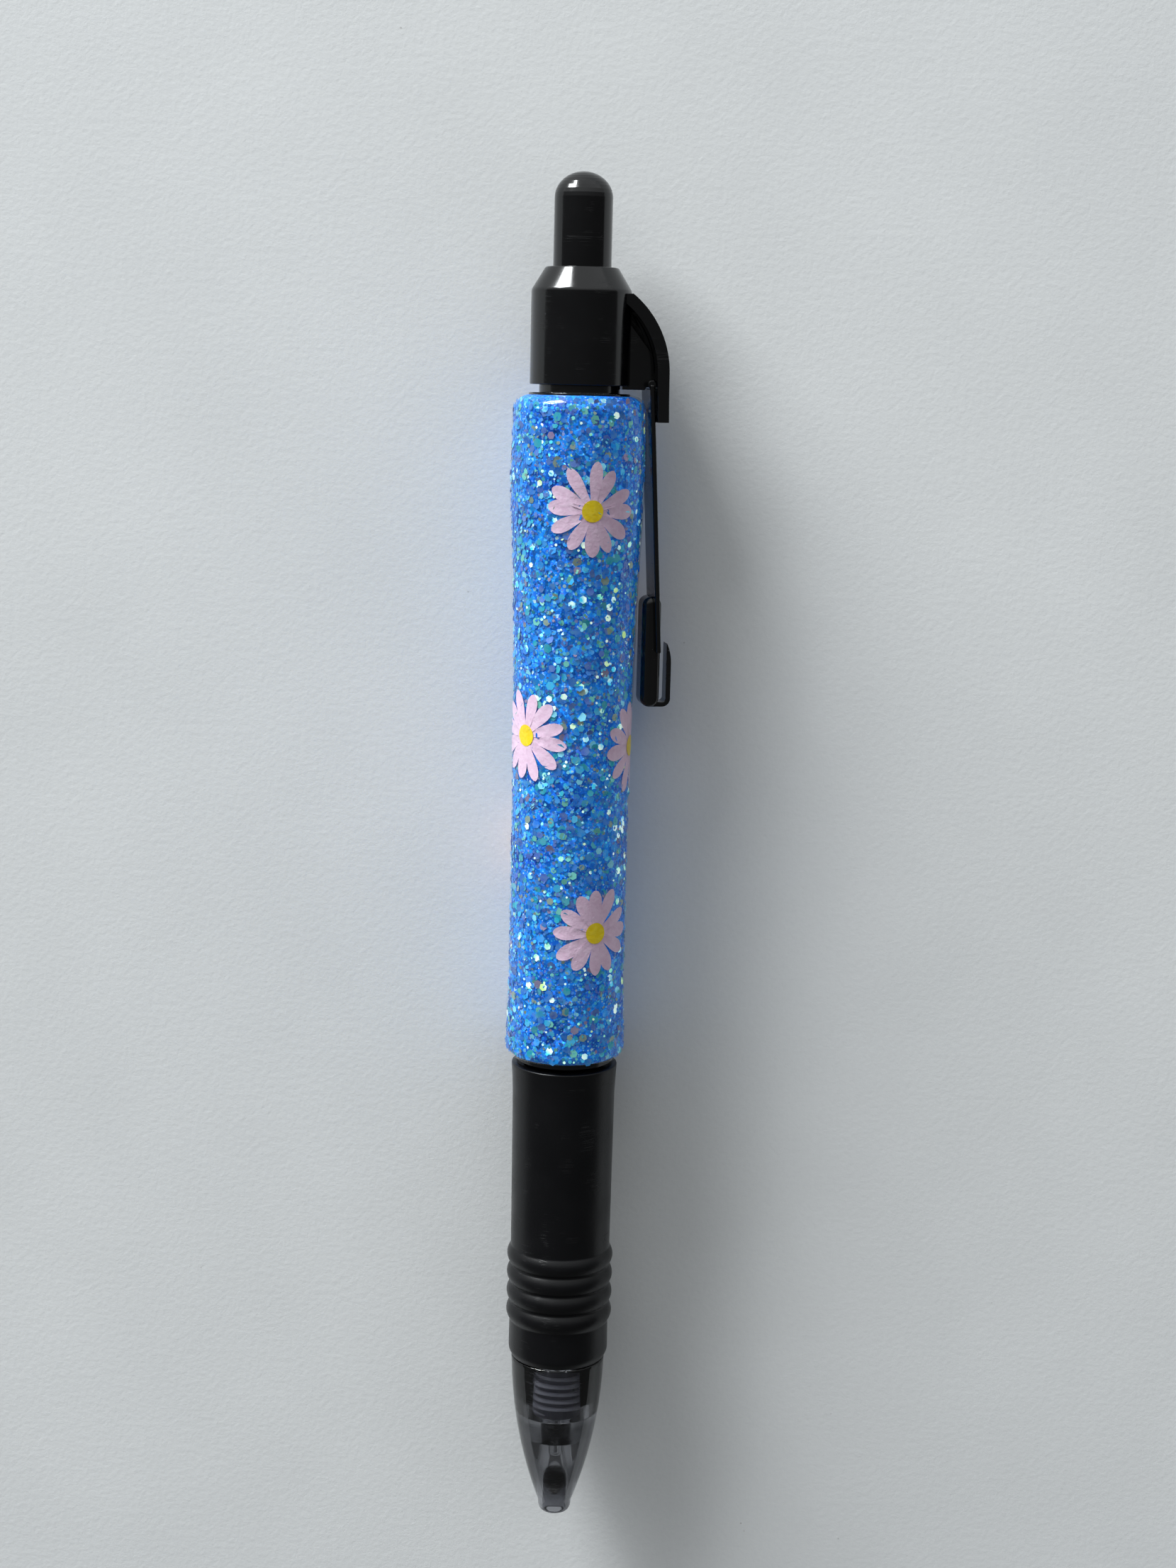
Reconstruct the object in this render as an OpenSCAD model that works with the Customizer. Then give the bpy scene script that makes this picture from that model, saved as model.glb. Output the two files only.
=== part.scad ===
// A retractable gel pen with a cast glitter sleeve, lying on its side.
// Every part is built along the pen's own axis, with the writing end at z = 0 and the
// push button up. lay_down() then turns the axis to +Y, rests the sleeve on z = 0 and
// puts the clip toward +X. All sizes are in millimetres.

/* [Nose cone] */
// Length of the clear cone in front of the grip
cone_len = 18.2; // [17:0.1:22]
// Radius of the cone where it meets the grip
cone_r = 5.07; // [5:0.01:5.4]
// Radius where the cone's side meets its rounded end
cone_tip_r = 1.85; // [1.5:0.01:2]
// How far behind the grip's edge that arc would run level
cone_level = 0.7; // [0:0.1:2]
// Radius of the hole that the point comes out of
orifice_r = 1.22; // [1.2:0.01:1.4]
// Length of that hole
orifice_len = 3.3; // [2:0.1:4]
// Radius of the chamber that the spring stands in
chamber_r = 2.3; // [2.3:0.01:2.6]
// Height of the ledge that the spring stands on
ledge_z = 8.8; // [7:0.1:10]
// Radius of the passage just below that ledge
passage_r = 2.15; // [1.9:0.01:2.25]
// Number of fins that stand in the passage
fin_count = 6; // [3:1:8]
// Thickness of a fin
fin_t = 0.4; // [0.3:0.05:0.6]
// Radius inside the fins
fin_in_r = 1.45; // [1.35:0.01:1.5]
// Height of the rounding around the cone's open end
nose_round = 1.2; // [0.6:0.05:1.2]
// Width of the land around the hole
nose_land = 0.08; // [0.05:0.01:0.15]

/* [Thread] */
// Radius over the screw thread's crests
crest_r = 3.8; // [3.7:0.01:3.95]
// Depth of the thread
thread_depth = 0.3; // [0.1:0.01:0.4]
// Distance between two crests
thread_pitch = 0.85; // [0.7:0.05:1.1]
// Number of crests
thread_turns = 5; // [3:1:6]
// Length of the threaded spigot
spigot_len = 6.3; // [6:0.1:9]
// Clearance between the crests and the cone's bore
thread_gap = 0.08; // [0.05:0.01:0.15]

/* [Barrel] */
// Radius of the barrel under the grip
core_r = 4.4; // [4.2:0.01:4.6]
// Radius of the barrel under the glitter
barrel_r = 5.2; // [5:0.01:5.4]
// Radius of the front bore that guides the refill
front_bore_r = 2.88; // [2.85:0.01:3.1]
// Length of that front bore
front_bore_len = 26; // [20:1:35]
// Radius of the main bore
main_bore_r = 3.52; // [3.4:0.01:3.7]
// Radius of the bare neck that the collar is pressed on
neck_r = 4.15; // [4.1:0.01:4.5]
// Length of the neck inside the collar
neck_len = 6.3; // [5:0.1:8]
// Length of the neck that shows below the collar
neck_gap = 0.8; // [0.4:0.1:3]

/* [Grip] */
// Length of the rubber grip
grip_len = 33.3; // [30:0.1:50]
// Radius of the grip's nose
grip_nose_r = 5.41; // [5.3:0.01:5.8]
// Radius at the grip's waist, behind the ribs
grip_waist_r = 5.37; // [5.2:0.01:5.8]
// Radius at the grip's top
grip_top_r = 5.65; // [5.4:0.01:6]
// Number of ribs
rib_count = 4; // [2:1:6]
// Distance between ribs
rib_pitch = 2.13; // [1.8:0.01:2.6]
// Distance from the grip's front edge to the first rib
rib_start = 5.2; // [4:0.1:9]
// Radius over the ribs
rib_r = 5.8; // [5.7:0.01:6.2]
// Radius of a rib's rounding
rib_round = 0.75; // [0.5:0.05:1]
// Gap between the grip and the sleeve
grip_gap = 0.7; // [0.3:0.1:2]

/* [Glitter sleeve] */
// Length of the cast sleeve
sleeve_len = 70.1; // [60:0.1:90]
// Largest radius, near the clip
sleeve_top_r = 7.09; // [6.9:0.01:7.2]
// Radius halfway up
sleeve_mid_r = 6.42; // [6.3:0.01:6.6]
// Smallest radius
sleeve_waist_r = 6.34; // [6.2:0.01:6.6]
// Radius near the grip
sleeve_low_r = 6.55; // [6.3:0.01:6.8]
// Rounding of the sleeve's ends
sleeve_round = 1.2; // [0.6:0.1:1.5]
// Depth of the flat that the cast sleeve lies on, at its foot
flat_depth = 0.15; // [0.05:0.01:0.2]
// Thickness of the clear coat over the glitter
coat_t = 0.45; // [0.3:0.01:0.7]

/* [Daisies] */
// Distance from a daisy's middle to its petals' round ends
petal_ring = 3.85; // [3:0.05:5]
// Radius of a petal's round end
petal_r = 1.1; // [0.9:0.05:1.3]
// Number of petals
petal_count = 12; // [8:1:14]
// Radius of the yellow middle
eye_r = 1.15; // [0.8:0.05:1.6]
// Thickness of a daisy
daisy_t = 0.12; // [0.08:0.01:0.2]

/* [Collar] */
// Radius of the collar
collar_r = 5.13; // [5:0.01:5.5]
// Length of its straight wall
collar_len = 9.5; // [8:0.1:14]
// Length of its sloping shoulder
shoulder_len = 2.3; // [1.5:0.1:3]
// Radius at the shoulder's top
mouth_r = 3.68; // [3.5:0.01:4.2]
// Thickness of the collar's top
collar_top_t = 2.5; // [2:0.1:4]
// Clearance between the neck and the collar
press_gap = 0.02; // [0.01:0.01:0.05]

/* [Clip] */
// Clip's roll below level as the pen lies, in degrees
clip_roll = 9; // [0:1:20]
// Width of the clip's arm
arm_w = 6; // [5:0.1:7]
// Outer radius that the arm reaches
arm_reach = 8.8; // [8.6:0.05:9.6]
// Radius of the arm's outer curve
arm_curve = 10; // [9:0.1:12]
// Thickness of the arm
arm_t = 1.25; // [1:0.05:1.4]
// Length of the arm's straight end
arm_end = 4.9; // [4:0.1:6]
// Thickness of the web between arm and collar
web_w = 2.2; // [1.5:0.1:3]
// Width of the clip's blade
blade_w = 5.2; // [4.5:0.1:5.4]
// Thickness of the blade
blade_t = 0.5; // [0.4:0.05:0.6]
// Length from the clip's pivot to its lower end
clip_len = 33.3; // [28:0.1:36]
// How far the arm hangs below the collar
arm_drop = 3.6; // [3:0.1:5]
// Height of the pivot above the arm's end
pivot_up = 3.8; // [3.6:0.1:4.2]
// Outward lean of the blade, in degrees
blade_lean = 3; // [2:0.1:3.5]
// Depth of the recess under the arm that lets the blade spring out
flex_room = 0.25; // [0.15:0.01:0.4]
// Radius of the pivot bar
pivot_r = 0.45; // [0.35:0.01:0.55]
// Clearance around the pivot bar
pivot_gap = 0.06; // [0.04:0.01:0.1]
// Gap between the blade and the sleeve's largest radius
blade_gap = 0.22; // [0.2:0.01:0.5]
// Length of the pad
pad_len = 11.6; // [8:0.1:14]
// Width of the pad
pad_w = 3.6; // [3:0.1:4.5]
// Inner radius of the pad, from the pen's axis
pad_in_r = 6.95; // [6.9:0.01:7.3]
// Outer radius of the pad
pad_out_r = 8.95; // [8.8:0.01:9.6]
// Gap inside the hook
hook_gap = 0.75; // [0.5:0.05:1.2]
// Thickness of the hook's lip
lip_t = 0.5; // [0.4:0.05:0.8]
// Width of the lip
lip_w = 2.2; // [1.5:0.1:3]
// Height of the lip above the clip's lower end
lip_len = 6.7; // [4:0.1:9]

/* [Push button] */
// Radius of the button
button_r = 2.97; // [2.8:0.01:3.1]
// How far the button stands out of the collar
button_out = 9.5; // [8:0.1:12]
// Height of its dome
dome_h = 2.6; // [1.5:0.1:2.9]
// Clearance between the button and the collar's hole
button_gap = 0.06; // [0.03:0.01:0.1]
// Radius of the flange that stops the button coming out
flange_r = 3.4; // [3.3:0.01:3.45]
// Thickness of that flange
flange_t = 1.2; // [0.8:0.1:1.6]
// Full press of the button
press = 5; // [4:0.1:5.5]

/* [Click mechanism] */
// Radius of the grooves in the guide sleeve
groove_r = 3.08; // [3:0.01:3.2]
// Inner radius of the guide's ribs
guide_rib_r = 2.5; // [2.4:0.01:2.6]
// Width of a groove
groove_w = 1.4; // [1.2:0.1:1.8]
// Number of grooves
groove_count = 4; // [3:1:6]
// Radius of the rotor and of the button's skirt
crown_r = 2.42; // [2.3:0.01:2.44]
// Radius over the splines that run in the grooves
spline_r = 3; // [2.9:0.01:3.02]
// Width of a spline
spline_w = 1.2; // [1:0.1:1.3]
// Length of the guide's ribs
guide_rib_len = 11.7; // [11:0.1:14]
// Height of the rotor's ribs
rotor_rib_len = 2.6; // [2:0.1:3]
// Length of the rotor
rotor_len = 6.65; // [5:0.05:8]
// Height of the crown's teeth
tooth_h = 0.9; // [0.6:0.1:1.2]

/* [Refill] */
// How far the point stands back inside the cone
tip_back = 2.1; // [1:0.1:3]
// Radius of the writing ball
ball_r = 0.35; // [0.3:0.01:0.5]
// Radius of the metal point
point_r = 1.14; // [1:0.01:1.16]
// Length of the point's cone
point_cone_len = 1.4; // [1:0.1:2.5]
// Length of the metal point
point_len = 15.9; // [12:0.1:18]
// Radius of the ink passage
ink_hole_r = 0.5; // [0.3:0.05:0.7]
// Radius of the holder's front stem, inside the spring
stem_r = 1.55; // [1.5:0.01:1.6]
// Length of the point that is held in the stem
point_held = 4; // [3:0.1:6]
// Length of that stem
stem_len = 15.1; // [13:0.1:18]
// Outer radius of the refill's tube
tube_r = 2.8; // [2.6:0.01:2.85]
// Wall of the tube
tube_wall = 0.4; // [0.3:0.05:0.6]
// Length of the holder's shoulder, which the spring pushes on
rim_len = 2; // [1:0.1:3]
// Length of the holder inside the tube
holder_grip = 5; // [3:0.1:7]
// Length of the ink
ink_len = 48; // [20:1:60]
// Length of the clear grease behind the ink
grease_len = 5; // [3:0.5:8]
// Thickness of the refill's end plug
plug_t = 1.5; // [1:0.1:2]

/* [Return spring] */
// Radius to the middle of the wire
coil_r = 1.88; // [1.86:0.01:1.95]
// Radius of the wire
wire_r = 0.19; // [0.15:0.01:0.22]
// Number of turns
coil_turns = 11; // [8:1:14]

/* [Hidden] */
$fn = 64;
// Extra length that carries a cut past the face it opens
over = 0.5;
// Clearance along the axis between parts that rest on each other
seat_gap = 0.05;
// Clearance around parts that are bonded or pressed together
bond_gap = 0.01;

// Heights along the pen
sleeve_z = cone_len + grip_len + grip_gap;
sleeve_end = sleeve_z + sleeve_len;
collar_z = sleeve_end + neck_gap;
shoulder_z = collar_z + collar_len;
mouth_z = shoulder_z + shoulder_len;
button_z = mouth_z + button_out;
neck_end = collar_z + neck_len;
spigot_z = cone_len - spigot_len;
flange_top = mouth_z - collar_top_t - seat_gap;
flange_z = flange_top - flange_t;

// Click mechanism, from the button down to the refill's end
press_room = 0.6;
tooth_half_w = 0.9;
guide_end = flange_z - press - press_room;
guide_rib_end = guide_end - 2;
guide_rib_z = guide_rib_end - guide_rib_len;
skirt_z = guide_rib_z + press + press_room;
rotor_top = skirt_z - tooth_h - seat_gap;
rotor_z = rotor_top - rotor_len;
rotor_rib_z = rotor_top - rotor_rib_len;
guide_z = guide_rib_z - rotor_rib_len;
guide_r = main_bore_r - press_gap;
hole_r = button_r + button_gap;
shank_r = button_r - 0.04;

// Refill, from its point up to its plug
point_z = tip_back + ball_r;
point_end = point_z + point_len;
stem_z = point_end - point_held;
rim_z = stem_z + stem_len;
tube_z = rim_z + rim_len;
ink_z = tube_z + holder_grip;
grease_z = ink_z + ink_len;
plug_z = rotor_z - seat_gap - plug_t;
tube_bore = tube_r - tube_wall;
socket_gap = 0.02;

// Glitter sleeve: where its swellings lie and how far they spread, as shares of its length
swell_at = 0.913;
swell_spread = 0.23;
foot_spread = 0.1;
swell_steps = 12;
end_steps = 3;
round_steps = 5;
// Each daisy's height above the sleeve's lower end, and its turn away from straight up
DAISIES = [[58.4, 14], [35.1, -49], [14.6, 29], [33.9, 78], [48, 152], [22, -146], [6.5, 178]];

// Clip, in the plane through the axis
arm_z = collar_z - arm_drop;
arc_z = arm_z + arm_end;
pivot_z = arm_z + pivot_up;
web_z = sleeve_end + 0.4;
blade_in_r = sleeve_top_r + blade_gap;
widest_z = sleeve_z + swell_at * sleeve_len;
pivot_x = blade_in_r + blade_t / 2 - (pivot_z - widest_z) * tan(blade_lean);
clip_z = pivot_z - clip_len;
pad_round = (pad_out_r - pad_in_r) / 2;
bend_r = hook_gap / 2;
bend_z = clip_z + bend_r + lip_t;
bend_x = pad_out_r + bend_r;
lip_out_r = pad_out_r + hook_gap + lip_t;
lip_z = clip_z + lip_len;
lip_taper = 1.4;
clip_reach = lip_out_r * cos(clip_roll) + lip_w / 2 * sin(clip_roll);

// The pen's place as it lies, on a flat that runs from the sleeve's foot to its upper edge
lie_x = (sleeve_top_r - clip_reach) / 2;
lie_y = -button_z / 2;
lie_z = sleeve_r(1);
flat_top_z = sleeve_end - sleeve_round;
flat_len = sleeve_len - 2 * sleeve_round;
flat_lean = atan((lie_z - sleeve_low_r + flat_depth) / flat_len);

// Arc that draws the cone's side from its level end to its tip
arc_run = cone_len + cone_level - nose_round;
arc_fall = cone_r - cone_tip_r;
cone_arc = (pow(arc_run, 2) + pow(arc_fall, 2)) / (2 * arc_fall);

black = [0.03, 0.03, 0.035];
clear = [0.8, 0.82, 0.85, 0.4];

function cone_at(z) = let (back = cone_len + cone_level - z)
    cone_r - cone_arc + sqrt(pow(cone_arc, 2) - pow(back, 2));

function sleeve_r(u) = sleeve_waist_r
    + (sleeve_low_r - sleeve_waist_r) * exp(-pow(u / foot_spread, 2))
    + (sleeve_top_r - sleeve_waist_r) * exp(-pow((u - swell_at) / swell_spread, 2));

// Outline of the sleeve, drawn in by a coat's thickness
function sleeve_outline(inset) = let (
    bend = sleeve_round - inset,
    low = sleeve_z + sleeve_round,
    high = sleeve_end - sleeve_round,
    span = high - low,
    shares = concat(
        [for (i = [0 : swell_steps]) swell_at * i / swell_steps],
        [for (i = [1 : end_steps]) swell_at + (1 - swell_at) * i / end_steps]),
    top_x = sleeve_r(1) - sleeve_round,
    foot_x = sleeve_r(0) - sleeve_round)
    concat(
        [[0, low - bend]],
        [for (i = [0 : round_steps - 1]) let (a = 90 * i / round_steps - 90)
            [foot_x + bend * cos(a), low + bend * sin(a)]],
        [for (u = shares) [sleeve_r(u) - inset, low + span * u]],
        [for (i = [1 : round_steps]) let (a = 90 * i / round_steps)
            [top_x + bend * cos(a), high + bend * sin(a)]],
        [[0, high + bend]]);

module lay_down() {
    translate([lie_x, lie_y, lie_z]) rotate([-90, 0, 0]) children();
}

// A tube or disc on the axis between two heights
module turned(r, from, to) {
    translate([0, 0, from]) cylinder(r = r, h = to - from);
}

// A taper on the axis between two heights
module taper(r1, r2, from, to) {
    translate([0, 0, from]) cylinder(r1 = r1, r2 = r2, h = to - from);
}

// A plate across the clip's plane: from and to are [radius, height]
module plate(from, to, w) {
    translate([from.x, -w / 2, from.y]) cube([to.x - from.x, w, to.y - from.y]);
}

// A round bar across the clip's plane
module bar(r, at, w) {
    translate([at.x, w / 2, at.y]) rotate([90, 0, 0]) cylinder(r = r, h = w);
}

module sleeve_body(inset) {
    difference() {
        rotate_extrude() polygon(sleeve_outline(inset));
        turned(barrel_r + bond_gap, 0, mouth_z);
    }
}

module daisy_place(d) {
    rotate([0, 0, d[1] - 90]) translate([0, 0, sleeve_z + d[0]]) rotate([0, 90, 0]) children();
}

module daisy_petal_prism() {
    difference() {
        union() {
            translate([0, 0, barrel_r]) cylinder(r = petal_ring, h = barrel_r);
            for (i = [0 : petal_count - 1]) rotate([0, 0, 360 * i / petal_count])
                translate([petal_ring, 0, barrel_r]) cylinder(r = petal_r, h = barrel_r);
        }
        cylinder(r = eye_r, h = 3 * barrel_r);
    }
}

module daisy_eye_prism() {
    translate([0, 0, barrel_r]) cylinder(r = eye_r - bond_gap, h = barrel_r);
}

module daisy_layer() {
    difference() {
        sleeve_body(coat_t - daisy_t);
        sleeve_body(coat_t);
    }
}

module barrel() {
    color(black) lay_down() difference() {
        union() {
            turned(crest_r - thread_depth, spigot_z, cone_len + over);
            for (i = [0 : thread_turns - 1]) {
                crest_z = spigot_z + thread_pitch * (i + 0.3);
                taper(crest_r - thread_depth, crest_r, crest_z, crest_z + thread_pitch * 0.3);
                taper(crest_r, crest_r - thread_depth, crest_z + thread_pitch * 0.3,
                    crest_z + thread_pitch * 0.6);
            }
            turned(core_r, cone_len + seat_gap, sleeve_z - grip_gap / 2);
            turned(barrel_r, sleeve_z - grip_gap / 2, sleeve_end);
            turned(neck_r, sleeve_end - over, neck_end);
        }
        turned(front_bore_r, spigot_z - over, spigot_z + front_bore_len + over);
        turned(main_bore_r, spigot_z + front_bore_len, neck_end + over);
    }
}

module grip() {
    color([0.09, 0.09, 0.1]) lay_down() difference() {
        union() {
            nose = cone_len + seat_gap;
            rib_end = cone_len + rib_start + rib_pitch * (rib_count - 1) + rib_round;
            top = cone_len + grip_len;
            nose_edge = 0.8;
            flare_z = top - 3.4;
            flare_r = grip_nose_r + 0.1;
            top_edge = 0.5;
            taper(grip_nose_r - nose_edge / 2, grip_nose_r, nose, nose + nose_edge);
            turned(grip_nose_r, nose + nose_edge, rib_end);
            taper(grip_waist_r, flare_r, rib_end, flare_z);
            taper(flare_r, grip_top_r, flare_z, top - top_edge);
            taper(grip_top_r, grip_top_r - top_edge / 2, top - top_edge, top);
            for (i = [0 : rib_count - 1])
                translate([0, 0, cone_len + rib_start + rib_pitch * i]) rotate_extrude()
                    translate([rib_r - rib_round, 0]) circle(r = rib_round, $fn = 32);
        }
        turned(core_r + bond_gap, cone_len - over, sleeve_z);
    }
}

module nose_cone() {
    land_r = orifice_r + nose_land;
    side_len = cone_len - nose_round;
    side_steps = 16;
    color(clear) lay_down() difference() {
        rotate_extrude() polygon(concat(
            [[0, 0]],
            [for (a = [0 : 30 : 60]) [
                land_r + (cone_at(nose_round) - land_r) * sin(a), nose_round * (1 - cos(a))]],
            [for (i = [0 : side_steps]) let (z = nose_round + side_len * i / side_steps)
                [cone_at(z), z]],
            [[0, cone_len]]));
        turned(orifice_r, -over, ledge_z);
        difference() {
            taper(orifice_r, passage_r, orifice_len, ledge_z + 0.01);
            for (i = [0 : fin_count - 1]) rotate([0, 0, 360 * i / fin_count])
                translate([fin_in_r, -fin_t / 2, 0]) cube([passage_r, fin_t, ledge_z]);
        }
        turned(chamber_r, ledge_z, spigot_z);
        turned(crest_r + thread_gap, spigot_z - 2 * seat_gap, cone_len + over);
    }
}

module glitter_coat() {
    color([0.08, 0.35, 0.8]) lay_down() sleeve_body(coat_t);
}

module clear_coat() {
    color([0.5, 0.75, 1, 0.3]) lay_down() difference() {
        sleeve_body(0);
        difference() {
            rotate_extrude() polygon(sleeve_outline(coat_t));
            turned(barrel_r, 0, mouth_z);
        }
        translate([0, lie_z, flat_top_z]) rotate([-flat_lean, 0, 0])
            translate([-sleeve_top_r, 0, -2 * flat_len])
                cube([2 * sleeve_top_r, sleeve_top_r, 3 * flat_len]);
    }
}

module daisy_petals() {
    color([0.93, 0.78, 0.86]) lay_down() for (d = DAISIES) intersection() {
        daisy_place(d) daisy_petal_prism();
        daisy_layer();
    }
}

module daisy_eyes() {
    color([0.95, 0.75, 0.15]) lay_down() for (d = DAISIES) intersection() {
        daisy_place(d) daisy_eye_prism();
        daisy_layer();
    }
}

// The arm's curved band and its straight end, filled or hollow on the inside
module arm_curve_part(r, w) {
    intersection() {
        bar(r, [arm_reach - arm_curve, arc_z], w);
        plate([0, arc_z], [arm_reach, shoulder_z], w);
    }
}

module arm() {
    inner = arm_curve - arm_t;
    difference() {
        union() {
            arm_curve_part(arm_curve, arm_w);
            plate([arm_reach - arm_t, arm_z], [arm_reach, arc_z], arm_w);
        }
        bar(inner, [arm_reach - arm_curve, arc_z], arm_w + over);
        plate([arm_reach - arm_t - over, arm_z - over],
            [arm_reach - arm_t + flex_room, pivot_z + 1], blade_w + 0.3);
    }
    difference() {
        union() {
            arm_curve_part(inner + 0.1, web_w);
            plate([0, web_z], [arm_reach - arm_t + 0.1, arc_z], web_w);
        }
        bar(pivot_r + pivot_gap, [pivot_x, pivot_z], arm_w);
        plate([pivot_x - blade_t, arm_z], [arm_reach, pivot_z], arm_w);
    }
}

module collar() {
    color(black) lay_down() difference() {
        union() {
            turned(collar_r, collar_z, shoulder_z);
            taper(collar_r - 0.1, mouth_r, shoulder_z, mouth_z);
            rotate([0, 0, clip_roll]) arm();
        }
        turned(neck_r + press_gap, sleeve_end - over, neck_end + seat_gap);
        turned(main_bore_r, neck_end, mouth_z - collar_top_t);
        turned(hole_r, neck_end, mouth_z + over);
    }
}

module clip_outline_lip() {
    plate([lip_out_r - lip_t, bend_z], [lip_out_r, lip_z - lip_taper], lip_w);
    translate([0, lip_w / 2, 0]) rotate([90, 0, 0]) linear_extrude(lip_w) polygon([
        [lip_out_r - lip_t, lip_z - lip_taper], [lip_out_r, lip_z - lip_taper],
        [lip_out_r - lip_t * 0.4, lip_z - lip_taper * 0.4], [lip_out_r - lip_t * 0.9, lip_z],
        [lip_out_r - lip_t, lip_z]]);
}

module clip() {
    pad_x = pad_in_r + pad_round;
    color(black) lay_down() rotate([0, 0, clip_roll]) union() {
        bar(pivot_r, [pivot_x, pivot_z], blade_w - 0.4);
        translate([pivot_x, 0, pivot_z]) rotate([0, -blade_lean, 0])
            translate([-blade_t / 2, -blade_w / 2, -(clip_len - pad_len / 2)])
                cube([blade_t, blade_w, clip_len - pad_len / 2]);
        bar(pad_round, [pad_x, clip_z + pad_len - pad_round], pad_w);
        plate([pad_in_r, clip_z + pad_round], [pad_out_r, clip_z + pad_len - pad_round], pad_w);
        bar(pad_round, [pad_x, clip_z + pad_round], pad_w);
        difference() {
            union() {
                bar(bend_r + lip_t, [bend_x, bend_z], lip_w);
                plate([pad_x, clip_z], [bend_x, bend_z], lip_w);
            }
            bar(bend_r, [bend_x, bend_z], lip_w + over);
            plate([pad_out_r, bend_z], [lip_out_r + over, lip_z], lip_w + over);
        }
        clip_outline_lip();
    }
}

module spline(r, w, from, to) {
    translate([0, -w / 2, from]) cube([r, w, to - from]);
}

// One tooth of a crown, pointing down from a height
module crown_tooth(at) {
    translate([0, 0, at]) rotate([90, 0, 90]) linear_extrude(crown_r)
        polygon([[-tooth_half_w, bond_gap], [tooth_half_w, bond_gap], [0, -tooth_h]]);
}

module push_button() {
    dome_z = button_z - dome_h;
    color(black) lay_down() difference() {
        union() {
            rotate_extrude() polygon(concat([[0, mouth_z + seat_gap]],
                [[button_r, mouth_z + seat_gap]],
                [for (a = [0 : 9 : 81]) [button_r * cos(a), dome_z + dome_h * sin(a)]],
                [[0, button_z]]));
            turned(shank_r, flange_z, mouth_z + seat_gap);
            turned(flange_r, flange_z, flange_top);
            turned(crown_r, skirt_z, flange_z + over);
            for (i = [0 : groove_count - 1]) rotate([0, 0, 360 * i / groove_count])
                intersection() {
                    spline(2 * spline_r, spline_w, skirt_z, guide_rib_end);
                    turned(spline_r, skirt_z, guide_rib_end);
                }
            intersection() {
                turned(crown_r, skirt_z - tooth_h, skirt_z + over);
                for (i = [0 : 2 * groove_count - 1]) rotate([0, 0, 180 * (i + 0.5) / groove_count])
                    crown_tooth(skirt_z);
            }
        }
        turned(crown_r - 0.8, skirt_z - 2 * tooth_h, dome_z - 1);
    }
}

module cam_guide() {
    color([0.85, 0.85, 0.82]) lay_down() {
        difference() {
            turned(guide_r, guide_z, guide_end);
            turned(groove_r, guide_z - over, guide_end + over);
        }
        difference() {
            turned(groove_r + 0.1, guide_rib_z, guide_rib_end);
            turned(guide_rib_r, guide_z, guide_end);
            for (i = [0 : groove_count - 1]) rotate([0, 0, 360 * i / groove_count]) {
                intersection() {
                    spline(2 * groove_r, groove_w, guide_z, guide_end);
                    turned(groove_r, guide_z, guide_end);
                }
            }
        }
    }
}

module cam_rotor() {
    color([0.9, 0.9, 0.88]) lay_down() difference() {
        union() {
            turned(crown_r, rotor_z, rotor_top);
            for (i = [0 : groove_count - 1]) rotate([0, 0, 360 * i / groove_count])
                intersection() {
                    spline(2 * spline_r, spline_w, rotor_rib_z, rotor_top);
                    turned(spline_r, rotor_rib_z, rotor_top);
                }
        }
        turned(crown_r - 1, rotor_rib_z, rotor_top + over);
    }
}

module refill_tube() {
    color([0.8, 0.82, 0.85, 0.5]) lay_down() difference() {
        turned(tube_r, tube_z, plug_z);
        turned(tube_bore, tube_z - over, plug_z + over);
    }
}

module refill_plug() {
    color([0.75, 0.75, 0.75]) lay_down() difference() {
        union() {
            turned(tube_r, plug_z, plug_z + plug_t);
            turned(tube_bore - bond_gap, plug_z - plug_t, plug_z);
        }
        turned(ink_hole_r, plug_z - plug_t - over, plug_z + plug_t + over);
    }
}

module ink() {
    color([0.02, 0.02, 0.04]) lay_down() turned(tube_bore - bond_gap, ink_z, grease_z);
}

module ink_grease() {
    color([0.85, 0.8, 0.6, 0.6]) lay_down()
        turned(tube_bore - bond_gap, grease_z, grease_z + grease_len);
}

module tip_holder() {
    color([0.75, 0.76, 0.78]) lay_down() difference() {
        union() {
            turned(stem_r, stem_z, rim_z);
            turned(tube_r, rim_z, tube_z);
            turned(tube_bore - bond_gap, tube_z, ink_z);
        }
        turned(point_r, stem_z - over, point_end);
        turned(ink_hole_r, stem_z, ink_z + over);
    }
}

module metal_point() {
    color([0.7, 0.7, 0.68]) lay_down() difference() {
        union() {
            taper(ball_r + 0.06, point_r - bond_gap, point_z, point_z + point_cone_len);
            turned(point_r - bond_gap, point_z + point_cone_len, point_end);
        }
        turned(ink_hole_r / 2, point_z, point_end + over);
        turned(ink_hole_r, point_z + point_cone_len, point_end + over);
        translate([0, 0, point_z]) sphere(r = ball_r + socket_gap);
    }
}

module writing_ball() {
    color([0.6, 0.6, 0.62]) lay_down() translate([0, 0, point_z]) sphere(r = ball_r);
}

// Wire's centre after so many turns: the end turns lie closed, the others are spread
function coil_rise(turn, length) = let (
    closed = 2 * wire_r + seat_gap,
    open = (length - 2 * closed) / (coil_turns - 2))
    turn < 1 ? turn * closed
    : turn > coil_turns - 1 ? length - (coil_turns - turn) * closed
    : closed + (turn - 1) * open;

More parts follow.
